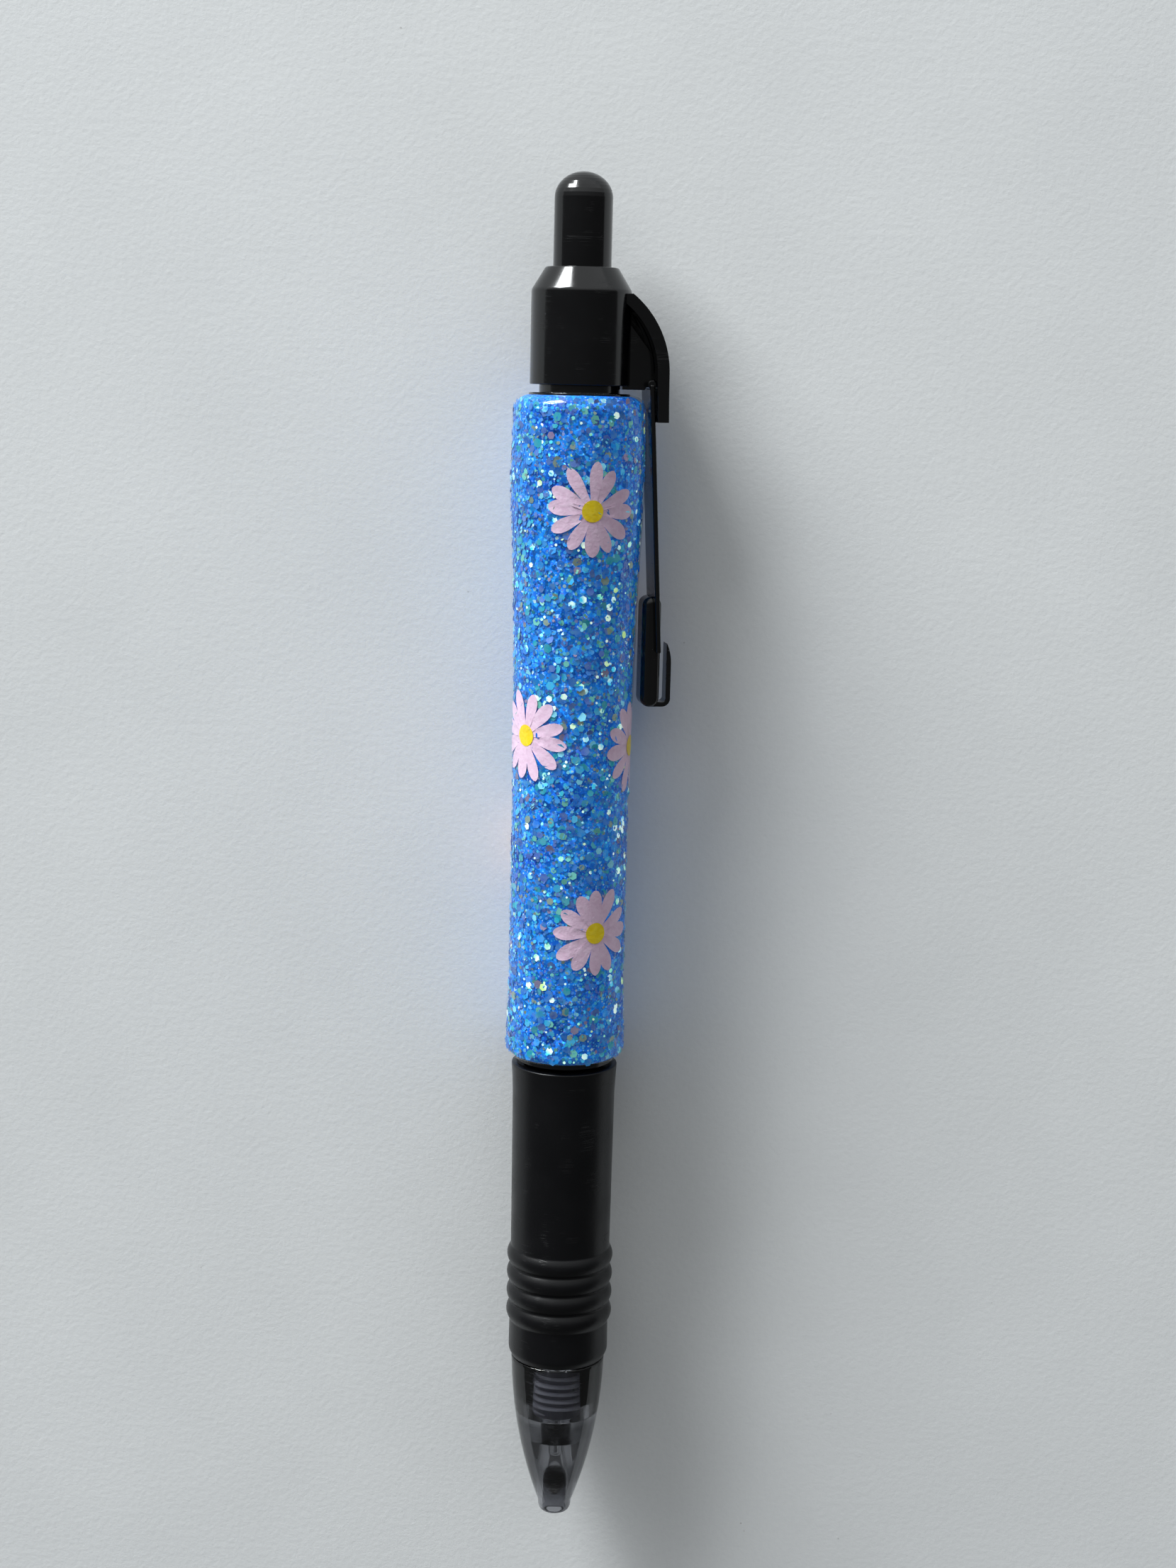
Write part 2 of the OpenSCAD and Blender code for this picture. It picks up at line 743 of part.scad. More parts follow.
module return_spring() {
    sides = 8;
    rings = 16;
    from = ledge_z + wire_r + seat_gap;
    length = rim_z - wire_r - seat_gap - from;
    last = coil_turns * rings;
    points = [for (i = [0 : last], j = [0 : sides - 1]) let (
        a = 360 * i / rings, b = 360 * j / sides, x = coil_r + wire_r * cos(b))
        [x * cos(a), x * sin(a), from + coil_rise(i / rings, length) + wire_r * sin(b)]];
    walls = [for (i = [0 : last - 1], j = [0 : sides - 1]) let (k = (j + 1) % sides)
        [i * sides + j, (i + 1) * sides + j, (i + 1) * sides + k, i * sides + k]];
    ends = [[for (j = [0 : sides - 1]) j], [for (j = [sides - 1 : -1 : 0]) last * sides + j]];
    color([0.75, 0.76, 0.78]) lay_down() polyhedron(points, concat(walls, ends));
}

barrel();
grip();
nose_cone();
glitter_coat();
clear_coat();
daisy_petals();
daisy_eyes();
collar();
clip();
push_button();
cam_guide();
cam_rotor();
refill_tube();
refill_plug();
ink();
ink_grease();
tip_holder();
metal_point();
writing_ball();
return_spring();
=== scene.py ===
"""A retractable gel pen with a hand-cast glitter sleeve, lying on a pale sheet."""

import math
import random

import bmesh
import bpy
from mathutils import Euler, Matrix, Vector, noise


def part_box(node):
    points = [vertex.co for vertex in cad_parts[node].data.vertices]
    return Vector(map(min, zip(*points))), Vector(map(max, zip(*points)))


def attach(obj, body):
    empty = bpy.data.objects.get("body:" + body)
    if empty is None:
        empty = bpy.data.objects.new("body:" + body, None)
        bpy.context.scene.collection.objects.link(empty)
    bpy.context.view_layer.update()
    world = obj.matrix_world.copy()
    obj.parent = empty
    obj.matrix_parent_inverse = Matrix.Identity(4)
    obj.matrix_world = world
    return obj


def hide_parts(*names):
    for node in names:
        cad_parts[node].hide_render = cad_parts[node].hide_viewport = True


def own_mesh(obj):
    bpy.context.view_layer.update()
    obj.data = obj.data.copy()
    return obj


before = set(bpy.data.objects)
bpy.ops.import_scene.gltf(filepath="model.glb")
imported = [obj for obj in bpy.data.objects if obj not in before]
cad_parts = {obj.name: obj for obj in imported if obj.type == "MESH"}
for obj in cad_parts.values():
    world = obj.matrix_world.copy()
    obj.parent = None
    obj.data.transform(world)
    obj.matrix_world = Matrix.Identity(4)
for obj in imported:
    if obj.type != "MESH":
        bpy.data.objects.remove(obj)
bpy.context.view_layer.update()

MM = 0.001
FULL_TURN = 2 * math.pi
CLIP_TURN = math.radians(99)  # from straight up toward the clip, which lies a little below level
NECK_GAP = 0.8  # bare neck between sleeve and collar
SWELL_GROWTH = 0.75  # what the sleeve's swelling adds to its waist radius


# ---------------------------------------------------------------- where things are

def span(node):
    """Lowest and highest place of a node along the pen, in mm from the writing end."""
    low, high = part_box(node)
    return (low[1] - TIP_Y) / MM, (high[1] - TIP_Y) / MM


def widest(node):
    """Largest radius of a round node, in mm."""
    low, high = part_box(node)
    return (high[2] - low[2]) / 2 / MM


TIP_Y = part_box("nose_cone")[0][1]
AXIS_X = sum(corner[0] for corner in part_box("push_button")) / 2
AXIS_Z = sum(corner[2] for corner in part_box("push_button")) / 2
CONE_END = span("nose_cone")[1]
GRIP_START, GRIP_END = span("grip")
SLEEVE_START, SLEEVE_END = span("clear_coat")
COLLAR_END = span("collar")[1]
CLIP_START, CLIP_END = span("clip")
COLLAR_START = SLEEVE_END + NECK_GAP
SLEEVE_WAIST = widest("clear_coat") - SWELL_GROWTH


def place(radius, height, turn):
    """A point by its distance from the axis, its height along the pen and its turn from up."""
    return Vector((
        AXIS_X + radius * MM * math.sin(turn),
        TIP_Y + height * MM,
        AXIS_Z + radius * MM * math.cos(turn),
    ))


def clip_place(radius, height, across):
    """A point in the clip's own directions: out from the axis, along the pen, and across."""
    out = Vector((math.sin(CLIP_TURN), 0, math.cos(CLIP_TURN)))
    side = Vector((-math.cos(CLIP_TURN), 0, math.sin(CLIP_TURN)))
    base = Vector((AXIS_X, TIP_Y + height * MM, AXIS_Z))
    return base + out * radius * MM + side * across * MM


# ---------------------------------------------------------------- mesh helpers

def make_piece(name, points, faces, material, smooth=True):
    mesh = bpy.data.meshes.new(name)
    mesh.from_pydata(points, [], faces)
    mesh.validate()
    if smooth:
        mesh.shade_smooth()
    piece = bpy.data.objects.new(name, mesh)
    bpy.context.collection.objects.link(piece)
    mesh.materials.append(material)
    return piece


def keep_outward(piece):
    shape = bmesh.new()
    shape.from_mesh(piece.data)
    bmesh.ops.recalc_face_normals(shape, faces=shape.faces)
    shape.to_mesh(piece.data)
    shape.free()


def rounded(profile, radius=0.15, steps=5):
    """Rounds the corners of an outline of (radius, height) points, in mm."""
    result = []
    count = len(profile)
    for i, point in enumerate(profile):
        here = Vector(point[:2])
        size = point[2] if len(point) > 2 else radius
        before, after = Vector(profile[i - 1][:2]), Vector(profile[(i + 1) % count][:2])
        to_before, to_after = before - here, after - here
        if size <= 0 or to_before.length < 1e-6 or to_after.length < 1e-6:
            result.append(tuple(here))
            continue
        reach = min(size, to_before.length * 0.45, to_after.length * 0.45)
        start = here + to_before.normalized() * reach
        end = here + to_after.normalized() * reach
        for step in range(steps + 1):
            t = step / steps
            bend = start * (1 - t) ** 2 + here * 2 * t * (1 - t) + end * t ** 2
            result.append(tuple(bend))
    return result


def turned(name, outline, material, sides=192, wobble=None):
    """A closed body of revolution from a closed outline of (radius, height) points."""
    points, faces = [], []
    rings = len(outline)
    for radius, height in outline:
        for j in range(sides):
            turn = FULL_TURN * j / sides
            extra = wobble(height, turn) if wobble else 0.0
            points.append(place(max(radius + extra, 0.0), height, turn))
    for i in range(rings):
        k = (i + 1) % rings
        if outline[i][0] <= 0 and outline[k][0] <= 0:
            continue
        for j in range(sides):
            m = (j + 1) % sides
            faces.append((i * sides + j, i * sides + m, k * sides + m, k * sides + j))
    piece = make_piece(name, points, faces, material)
    shape = bmesh.new()
    shape.from_mesh(piece.data)
    bmesh.ops.remove_doubles(shape, verts=shape.verts, dist=0.2e-6)
    bmesh.ops.dissolve_degenerate(shape, edges=shape.edges, dist=0.1e-6)
    bmesh.ops.recalc_face_normals(shape, faces=shape.faces)
    shape.to_mesh(piece.data)
    shape.free()
    piece.data.shade_smooth()
    return piece


def side_line(function, start, end, steps):
    return [(function(start + (end - start) * i / steps), start + (end - start) * i / steps)
            for i in range(steps + 1)]


def block(name, corners, widths, material, bevel, segments=4):
    """A bar across the clip's plane: corners are (radius, height), widths its width at each."""
    count = len(corners)
    points = [clip_place(x, z, side * w / 2)
              for side in (-1, 1) for (x, z), w in zip(corners, widths)]
    faces = [tuple(range(count)), tuple(range(2 * count - 1, count - 1, -1))]
    for i in range(count):
        k = (i + 1) % count
        faces.append((i, i + count, k + count, k))
    piece = make_piece(name, points, faces, material)
    keep_outward(piece)
    soften(piece, bevel, segments)
    return piece


def soften(piece, width, segments=4, angle=35):
    bevel = piece.modifiers.new("edges", "BEVEL")
    bevel.width = width * MM
    bevel.segments = segments
    bevel.limit_method = "ANGLE"
    bevel.angle_limit = math.radians(angle)
    bevel.harden_normals = True


def joined(name, pieces):
    """Welds several pieces into one, with their modifiers applied."""
    graph = bpy.context.evaluated_depsgraph_get()
    shape = bmesh.new()
    for piece in pieces:
        part = bpy.data.meshes.new_from_object(piece.evaluated_get(graph))
        shape.from_mesh(part)
        bpy.data.meshes.remove(part)
    mesh = bpy.data.meshes.new(name)
    shape.to_mesh(mesh)
    shape.free()
    mesh.shade_smooth()
    mesh.materials.append(pieces[0].data.materials[0])
    whole = bpy.data.objects.new(name, mesh)
    bpy.context.collection.objects.link(whole)
    for piece in pieces:
        bpy.data.objects.remove(piece)
    return whole


# ---------------------------------------------------------------- shader helpers

def add_node(tree, kind, **inputs):
    node = tree.nodes.new(kind)
    for name, value in inputs.items():
        socket = node.inputs[name.replace("_", " ")]
        if isinstance(value, bpy.types.NodeSocket):
            tree.links.new(value, socket)
        else:
            socket.default_value = value
    return node


def calc(tree, operation, first, second=0.0, clamp=False):
    node = tree.nodes.new("ShaderNodeMath")
    node.operation = operation
    node.use_clamp = clamp
    for socket, value in zip(node.inputs, (first, second)):
        if isinstance(value, bpy.types.NodeSocket):
            tree.links.new(value, socket)
        else:
            socket.default_value = value
    return node.outputs[0]


def fade(tree, value, low, high, to_low=0.0, to_high=1.0):
    node = tree.nodes.new("ShaderNodeMapRange")
    tree.links.new(value, node.inputs["Value"])
    for name, number in zip(("From Min", "From Max", "To Min", "To Max"),
                            (low, high, to_low, to_high)):
        node.inputs[name].default_value = number
    return node.outputs["Result"]


def mix_colour(tree, share, first, second, blend="MIX"):
    node = tree.nodes.new("ShaderNodeMix")
    node.data_type = "RGBA"
    node.blend_type = blend
    sockets = (node.inputs["Factor"], node.inputs[6], node.inputs[7])
    for socket, value in zip(sockets, (share, first, second)):
        if isinstance(value, bpy.types.NodeSocket):
            tree.links.new(value, socket)
        else:
            socket.default_value = value
    return node.outputs[2]


def rough_noise(tree, vector, scale, detail=3.0, roughness=0.55):
    node = add_node(tree, "ShaderNodeTexNoise", Vector=vector, Scale=scale, Detail=detail,
                    Roughness=roughness)
    return node.outputs["Fac"]


def scaled(tree, vector, sizes):
    node = add_node(tree, "ShaderNodeMapping", Vector=vector, Scale=sizes)
    return node.outputs["Vector"]


def start_group(name, inputs, outputs):
    """A shader node group with its named sockets: inputs are (name, kind, value)."""
    group = bpy.data.node_groups.new(name, "ShaderNodeTree")
    for socket, kind, value in inputs:
        made = group.interface.new_socket(socket, in_out="INPUT", socket_type=kind)
        if value is not None:
            made.default_value = value
    for socket, kind in outputs:
        group.interface.new_socket(socket, in_out="OUTPUT", socket_type=kind)
    return group, group.nodes.new("NodeGroupInput"), group.nodes.new("NodeGroupOutput")


def use_group(tree, group, **inputs):
    node = tree.nodes.new("ShaderNodeGroup")
    node.node_tree = group
    for name, value in inputs.items():
        socket = node.inputs[name.replace("_", " ")]
        if isinstance(value, bpy.types.NodeSocket):
            tree.links.new(value, socket)
        else:
            socket.default_value = value
    return node


FLOAT, VECTOR = "NodeSocketFloat", "NodeSocketVector"


def handling_marks():
    """Faint wipe marks, hairline scratches and specks of dust, as a roughness and a height."""
    group, given, out = start_group(
        "handling_marks",
        [("Vector", VECTOR, None), ("Base Roughness", FLOAT, 0.1), ("Smudge", FLOAT, 0.1),
         ("Scratch", FLOAT, 0.1)],
        [("Roughness", FLOAT), ("Height", FLOAT), ("Dust", FLOAT)])
    vector = given.outputs["Vector"]
    smudge = fade(group, rough_noise(group, vector, 260, 4), 0.42, 0.75)
    hair = None
    for turn, stretch in ((0.4, 14), (-0.7, 18), (1.3, 11)):
        mapping = add_node(group, "ShaderNodeMapping", Vector=vector, Rotation=(turn, turn, 0.3),
                           Scale=(1, stretch, 1))
        line = add_node(group, "ShaderNodeTexVoronoi", Vector=mapping.outputs["Vector"], Scale=90.0)
        line.feature = "DISTANCE_TO_EDGE"
        thin = fade(group, line.outputs["Distance"], 0.0, 0.012, 1.0, 0.0)
        hair = thin if hair is None else calc(group, "MAXIMUM", hair, thin)
    broken = fade(group, rough_noise(group, vector, 420, 2), 0.55, 0.68)
    hair = calc(group, "MULTIPLY", hair, broken)
    specks = add_node(group, "ShaderNodeTexVoronoi", Vector=vector, Scale=1500.0)
    dust = fade(group, specks.outputs["Distance"], 0.05, 0.09, 1.0, 0.0)
    rare = fade(group, rough_noise(group, vector, 700, 1), 0.66, 0.7)
    dust = calc(group, "MULTIPLY", dust, rare)
    rough = calc(group, "ADD", given.outputs["Base Roughness"],
                 calc(group, "MULTIPLY", smudge, given.outputs["Smudge"]))
    rough = calc(group, "ADD", rough, calc(group, "MULTIPLY", hair, given.outputs["Scratch"]))
    rough = calc(group, "ADD", rough, calc(group, "MULTIPLY", dust, 0.5), clamp=True)
    group.links.new(rough, out.inputs["Roughness"])
    group.links.new(calc(group, "SUBTRACT", dust, hair), out.inputs["Height"])
    group.links.new(dust, out.inputs["Dust"])
    return group


def flake_layer():
    """Tiny flat flakes in resin: a colour share, a brightness and a tilt for each flake."""
    group, given, out = start_group(
        "flake_layer",
        [("Vector", VECTOR, None), ("Flake Size", FLOAT, 1000.0), ("Tilt", FLOAT, 0.5)],
        [("Share", FLOAT), ("Bright", FLOAT), ("Cover", FLOAT), ("Normal", VECTOR)])
    cells = add_node(group, "ShaderNodeTexVoronoi", Vector=given.outputs["Vector"],
                     Scale=given.outputs["Flake Size"], Randomness=1.0)
    split = add_node(group, "ShaderNodeSeparateColor", Color=cells.outputs["Color"])
    cover = fade(group, cells.outputs["Distance"], 0.38, 0.5, 1.0, 0.0)
    centred = group.nodes.new("ShaderNodeVectorMath")
    centred.operation = "SUBTRACT"
    group.links.new(cells.outputs["Color"], centred.inputs[0])
    centred.inputs[1].default_value = (0.5, 0.5, 0.5)
    tilt = group.nodes.new("ShaderNodeVectorMath")
    tilt.operation = "SCALE"
    group.links.new(centred.outputs[0], tilt.inputs[0])
    group.links.new(given.outputs["Tilt"], tilt.inputs["Scale"])
    surface = group.nodes.new("ShaderNodeNewGeometry")
    tipped = group.nodes.new("ShaderNodeVectorMath")
    group.links.new(surface.outputs["Normal"], tipped.inputs[0])
    group.links.new(tilt.outputs[0], tipped.inputs[1])
    level = group.nodes.new("ShaderNodeVectorMath")
    level.operation = "NORMALIZE"
    group.links.new(tipped.outputs[0], level.inputs[0])
    group.links.new(split.outputs["Red"], out.inputs["Share"])
    group.links.new(split.outputs["Green"], out.inputs["Bright"])
    group.links.new(cover, out.inputs["Cover"])
    group.links.new(level.outputs[0], out.inputs["Normal"])
    return group


MARKS = handling_marks()
FLAKES = flake_layer()


def start_material(name, **sockets):
    """A material with its Principled shader, its own object coordinates and plain values."""
    material = bpy.data.materials.new(name)
    material.use_nodes = True
    tree = material.node_tree
    shader = tree.nodes["Principled BSDF"]
    for socket, value in sockets.items():
        shader.inputs[socket.replace("_", " ")].default_value = value
    coords = tree.nodes.new("ShaderNodeTexCoord").outputs["Object"]
    return material, tree, shader, coords


def raise_by(tree, shader, height, distance, strength=1.0):
    bump = add_node(tree, "ShaderNodeBump", Height=height, Distance=distance, Strength=strength)
    tree.links.new(bump.outputs["Normal"], shader.inputs["Normal"])


def palette(tree, value, stops, hold=True):
    ramp = tree.nodes.new("ShaderNodeValToRGB")
    tree.links.new(value, ramp.inputs["Fac"])
    ramp.color_ramp.interpolation = "CONSTANT" if hold else "LINEAR"
    while len(ramp.color_ramp.elements) < len(stops):
        ramp.color_ramp.elements.new(0.5)
    for element, (position, colour) in zip(ramp.color_ramp.elements, stops):
        element.position = position
        element.color = (*colour, 1)
    return ramp.outputs["Color"]


# ---------------------------------------------------------------- materials

def polished_black():
    """Glossy black moulding with faint handling marks."""
    material, tree, shader, coords = start_material(
        "polished_black", IOR=1.5, Specular_IOR_Level=0.5)
    marks = use_group(tree, MARKS, Vector=coords, Base_Roughness=0.13, Smudge=0.10, Scratch=0.22)
    cloud = fade(tree, rough_noise(tree, coords, 120, 3), 0.3, 0.7)
    tone = mix_colour(tree, cloud, (0.0008, 0.0008, 0.0011, 1), (0.0016, 0.0015, 0.0020, 1))
    tone = mix_colour(tree, marks.outputs["Dust"], tone, (0.12, 0.12, 0.13, 1))
    tree.links.new(tone, shader.inputs["Base Color"])
    tree.links.new(marks.outputs["Roughness"], shader.inputs["Roughness"])
    raise_by(tree, shader, marks.outputs["Height"], 0.004 * MM)
    return material


def grip_rubber():
    """Satin black rubber with a fine moulded grain."""
    material, tree, shader, coords = start_material(
        "rubber_grain", IOR=1.48, Specular_IOR_Level=0.30)
    marks = use_group(tree, MARKS, Vector=coords, Base_Roughness=0.30, Smudge=0.10, Scratch=0.25)
    cloud = fade(tree, rough_noise(tree, coords, 90, 4), 0.3, 0.72)
    tone = mix_colour(tree, cloud, (0.0016, 0.0016, 0.0021, 1), (0.0030, 0.0030, 0.0038, 1))
    tone = mix_colour(tree, marks.outputs["Dust"], tone, (0.14, 0.14, 0.14, 1))
    tree.links.new(tone, shader.inputs["Base Color"])
    tree.links.new(marks.outputs["Roughness"], shader.inputs["Roughness"])
    grain = rough_noise(tree, coords, 5200, 2, 0.7)
    height = calc(tree, "ADD", calc(tree, "MULTIPLY", grain, 0.55), marks.outputs["Height"])
    raise_by(tree, shader, height, 0.012 * MM)
    return material


def smoky_clear(name, thin, thick):
    """Clear moulding with a smoke tint, paler at the thin wall round the thread and at its tip; the
    darker middle is partly the smoke of its thicker wall and partly painted shade for the dark inside
    of the nose.
    """
    material, tree, shader, coords = start_material(name, IOR=1.5, Transmission_Weight=1.0)
    marks = use_group(tree, MARKS, Vector=coords, Base_Roughness=0.015, Smudge=0.05, Scratch=0.12)
    cloud = fade(tree, rough_noise(tree, coords, 300, 3), 0.3, 0.7)
    along = add_node(tree, "ShaderNodeSeparateXYZ", Vector=coords).outputs["Y"]
    # front and back darken the middle of the nose: partly thicker smoke, partly painted shade
    front = fade(tree, along, TIP_Y + 1.2 * MM, TIP_Y + 4.5 * MM, 0.0, 0.9)
    back = fade(tree, along, TIP_Y + 11.2 * MM, TIP_Y + 12.0 * MM, 1.0, 0.0)
    share = calc(tree, "ADD", calc(tree, "MULTIPLY", front, back),
                 calc(tree, "MULTIPLY", cloud, 0.1))
    tree.links.new(mix_colour(tree, share, thin, thick), shader.inputs["Base Color"])
    tree.links.new(marks.outputs["Roughness"], shader.inputs["Roughness"])
    raise_by(tree, shader, marks.outputs["Height"], 0.003 * MM)
    return material


def flake_blue():
    """The resin under the large flakes: fine flakes of many blues in a deep azure, which also glows
    with its own colour as painted light.
    """
    # Emission Strength 0.20: a painted glow that lightens the whole sleeve
    material, tree, shader, coords = start_material(
        "flake_blue", Specular_IOR_Level=0.1, Emission_Strength=0.20)
    fine = use_group(tree, FLAKES, Vector=coords, Flake_Size=2300.0, Tilt=0.9)
    small = use_group(tree, FLAKES, Vector=coords, Flake_Size=4300.0, Tilt=1.1)
    drift = rough_noise(tree, coords, 330, 3)
    deep = palette(tree, drift, [
        (0.30, (0.004, 0.055, 0.36)), (0.46, (0.006, 0.13, 0.62)), (0.58, (0.010, 0.22, 0.78)),
        (0.72, (0.03, 0.11, 0.48))], hold=False)
    tones = [
        (0.0, (0.012, 0.11, 0.48)), (0.2, (0.02, 0.27, 0.70)), (0.38, (0.05, 0.40, 0.76)),
        (0.52, (0.09, 0.17, 0.50)), (0.66, (0.04, 0.34, 0.52)), (0.78, (0.20, 0.58, 0.74)),
        (0.88, (0.24, 0.25, 0.46)), (0.95, (0.46, 0.66, 0.60))]
    large_tone = palette(tree, fine.outputs["Share"], tones)
    small_tone = palette(tree, small.outputs["Share"], tones)
    share = calc(tree, "MULTIPLY", fine.outputs["Cover"],
                 fade(tree, fine.outputs["Bright"], 0.35, 0.75))
    colour = mix_colour(tree, calc(tree, "MULTIPLY", small.outputs["Cover"], 0.6), deep, small_tone)
    colour = mix_colour(tree, calc(tree, "MULTIPLY", share, 0.8), colour, large_tone)
    tree.links.new(colour, shader.inputs["Base Color"])
    # the same colour feeds the emission: painted light
    tree.links.new(colour, shader.inputs["Emission Color"])
    tree.links.new(calc(tree, "MULTIPLY", share, 0.55), shader.inputs["Metallic"])
    tree.links.new(fade(tree, small.outputs["Bright"], 0, 1, 0.2, 0.5), shader.inputs["Roughness"])
    tree.links.new(fine.outputs["Normal"], shader.inputs["Normal"])
    return material


def foil_flake():
    """Cut foil flakes, each with its own tint kept on its faces; their faint glow is painted light, and
    their pale cyan glints are painted highlights.
    """
    # Emission Strength 0.16: a painted glow
    material, tree, shader, coords = start_material(
        "foil_flake", Specular_IOR_Level=0.1, Emission_Strength=0.16)
    tint = tree.nodes.new("ShaderNodeAttribute")
    tint.attribute_name = "tint"
    # glints: patches painted toward pale cyan, as painted highlights
    glints = fade(tree, rough_noise(tree, coords, 1700, 2), 0.35, 0.7)
    colour = mix_colour(tree, calc(tree, "MULTIPLY", glints, 0.16), tint.outputs["Color"],
                        (0.55, 0.95, 1.0, 1))
    tree.links.new(colour, shader.inputs["Base Color"])
    tree.links.new(colour, shader.inputs["Emission Color"])
    tree.links.new(fade(tree, glints, 0, 1, 0.25, 0.45), shader.inputs["Metallic"])
    tree.links.new(fade(tree, glints, 0, 1, 0.34, 0.18), shader.inputs["Roughness"])
    return material


def spark_flake():
    """The few flakes that stand for those catching the window: near white painted glints with a tinted
    rim, glowing as painted light.
    """
    # Emission Strength 0.42: a painted glow
    material, tree, shader, coords = start_material(
        "spark_flake", Emission_Strength=0.42, Metallic=0.2, Roughness=0.25)
    tint = tree.nodes.new("ShaderNodeAttribute")
    tint.attribute_name = "tint"
    painted_glint = fade(tree, rough_noise(tree, coords, 900, 2), 0.38, 0.6)
    colour = mix_colour(tree, painted_glint, tint.outputs["Color"], (0.80, 1.0, 0.88, 1))
    tree.links.new(colour, shader.inputs["Base Color"])
    tree.links.new(colour, shader.inputs["Emission Color"])
    return material


def clear_resin():
    """The clear top coat: it mirrors the light at its surface and lets the rest pass."""
    material, tree, shader, coords = start_material("resin_coat")
    tree.nodes.remove(shader)
    marks = use_group(tree, MARKS, Vector=coords, Base_Roughness=0.03, Smudge=0.05, Scratch=0.1)
    waves = rough_noise(tree, coords, 260, 2, 0.4)
    bump = add_node(tree, "ShaderNodeBump", Height=waves, Distance=0.12 * MM, Strength=1.0)
    facing = add_node(tree, "ShaderNodeFresnel", IOR=1.46, Normal=bump.outputs["Normal"])
    side = tree.nodes.new("ShaderNodeNewGeometry").outputs["Backfacing"]
    outside = calc(tree, "SUBTRACT", 1.0, side)
    mirrored = calc(tree, "MULTIPLY", facing.outputs["Fac"], calc(tree, "MULTIPLY", outside, 0.6))
    shine = add_node(tree, "ShaderNodeBsdfGlossy", Color=(1, 1, 1, 1),
                     Roughness=marks.outputs["Roughness"], Normal=bump.outputs["Normal"])
    through = add_node(tree, "ShaderNodeBsdfTransparent", Color=(0.965, 0.985, 1.0, 1))
    both = tree.nodes.new("ShaderNodeMixShader")
    tree.links.new(mirrored, both.inputs["Fac"])
    tree.links.new(through.outputs["BSDF"], both.inputs[1])
    tree.links.new(shine.outputs["BSDF"], both.inputs[2])
    output = tree.nodes["Material Output"]
    tree.links.new(both.outputs["Shader"], output.inputs["Surface"])
    return material


def printed_film(name, tone, deeper, vein):
    """Thin printed film: the petals or the middle of a daisy."""
    material, tree, shader, coords = start_material(
        name, Roughness=0.45, Specular_IOR_Level=0.15)
    cloud = fade(tree, rough_noise(tree, coords, 600, 3), 0.3, 0.7)
    fibre = fade(tree, rough_noise(tree, coords, 2600, 2), 0.35, 0.65)
    colour = mix_colour(tree, cloud, tone, deeper)
    colour = mix_colour(tree, calc(tree, "MULTIPLY", fibre, 0.25), colour, vein)
    tree.links.new(colour, shader.inputs["Base Color"])
    tree.links.new(fade(tree, fibre, 0, 1, 0.35, 0.6), shader.inputs["Roughness"])
    raise_by(tree, shader, fibre, 0.01 * MM)
    return material


def turned_metal(name, tone, darker, roughness, rings):
    """Drawn or turned metal with fine marks around the pen's axis."""
    material, tree, shader, coords = start_material(name, Metallic=1.0)
    lines = rough_noise(tree, scaled(tree, coords, (1, rings, 1)), 900, 2)
    cloud = fade(tree, rough_noise(tree, coords, 700, 2), 0.3, 0.7)
    tree.links.new(mix_colour(tree, cloud, tone, darker), shader.inputs["Base Color"])
    tree.links.new(fade(tree, lines, 0.3, 0.7, roughness * 0.7, roughness * 1.4),
                   shader.inputs["Roughness"])
    raise_by(tree, shader, lines, 0.002 * MM)
    return material


def moulded(name, tone, darker, roughness, transmission=0.0):
    """Plain moulded plastic of the inner parts, with flow marks."""
    material, tree, shader, coords = start_material(name, Transmission_Weight=transmission)
    flow = fade(tree, rough_noise(tree, scaled(tree, coords, (1, 0.2, 1)), 900, 3), 0.3, 0.7)
    tree.links.new(mix_colour(tree, flow, tone, darker), shader.inputs["Base Color"])
    tree.links.new(fade(tree, flow, 0, 1, roughness, roughness + 0.12), shader.inputs["Roughness"])
    raise_by(tree, shader, flow, 0.004 * MM)
    return material


def paper_sheet():
    """The pale sheet that the pen lies on, with fibres and a few specks."""
    material, tree, shader, coords = start_material("paper_sheet", Roughness=0.85)
    fibre = rough_noise(tree, coords, 1500, 5, 0.65)
    cloud = fade(tree, rough_noise(tree, coords, 45, 3), 0.3, 0.7)
    tone = mix_colour(tree, cloud, (0.71, 0.725, 0.73, 1), (0.75, 0.765, 0.77, 1))
    tone = mix_colour(tree, fade(tree, fibre, 0.35, 0.65, 0.0, 0.10), tone, (0.55, 0.55, 0.57, 1))
    specks = add_node(tree, "ShaderNodeTexVoronoi", Vector=coords, Scale=260.0)
    speck = fade(tree, specks.outputs["Distance"], 0.02, 0.035, 0.35, 0.0)
    rare = fade(tree, rough_noise(tree, coords, 130, 1), 0.62, 0.66)
    tone = mix_colour(tree, calc(tree, "MULTIPLY", speck, rare), tone, (0.2, 0.18, 0.16, 1))
    tree.links.new(tone, shader.inputs["Base Color"])
    raise_by(tree, shader, fibre, 0.03 * MM)
    return material


BLACK = polished_black()
RUBBER = grip_rubber()
# the darker of these two tints is partly painted shade
CLEAR = smoky_clear("smoke_shell", (0.44, 0.445, 0.475, 1), (0.085, 0.087, 0.096, 1))
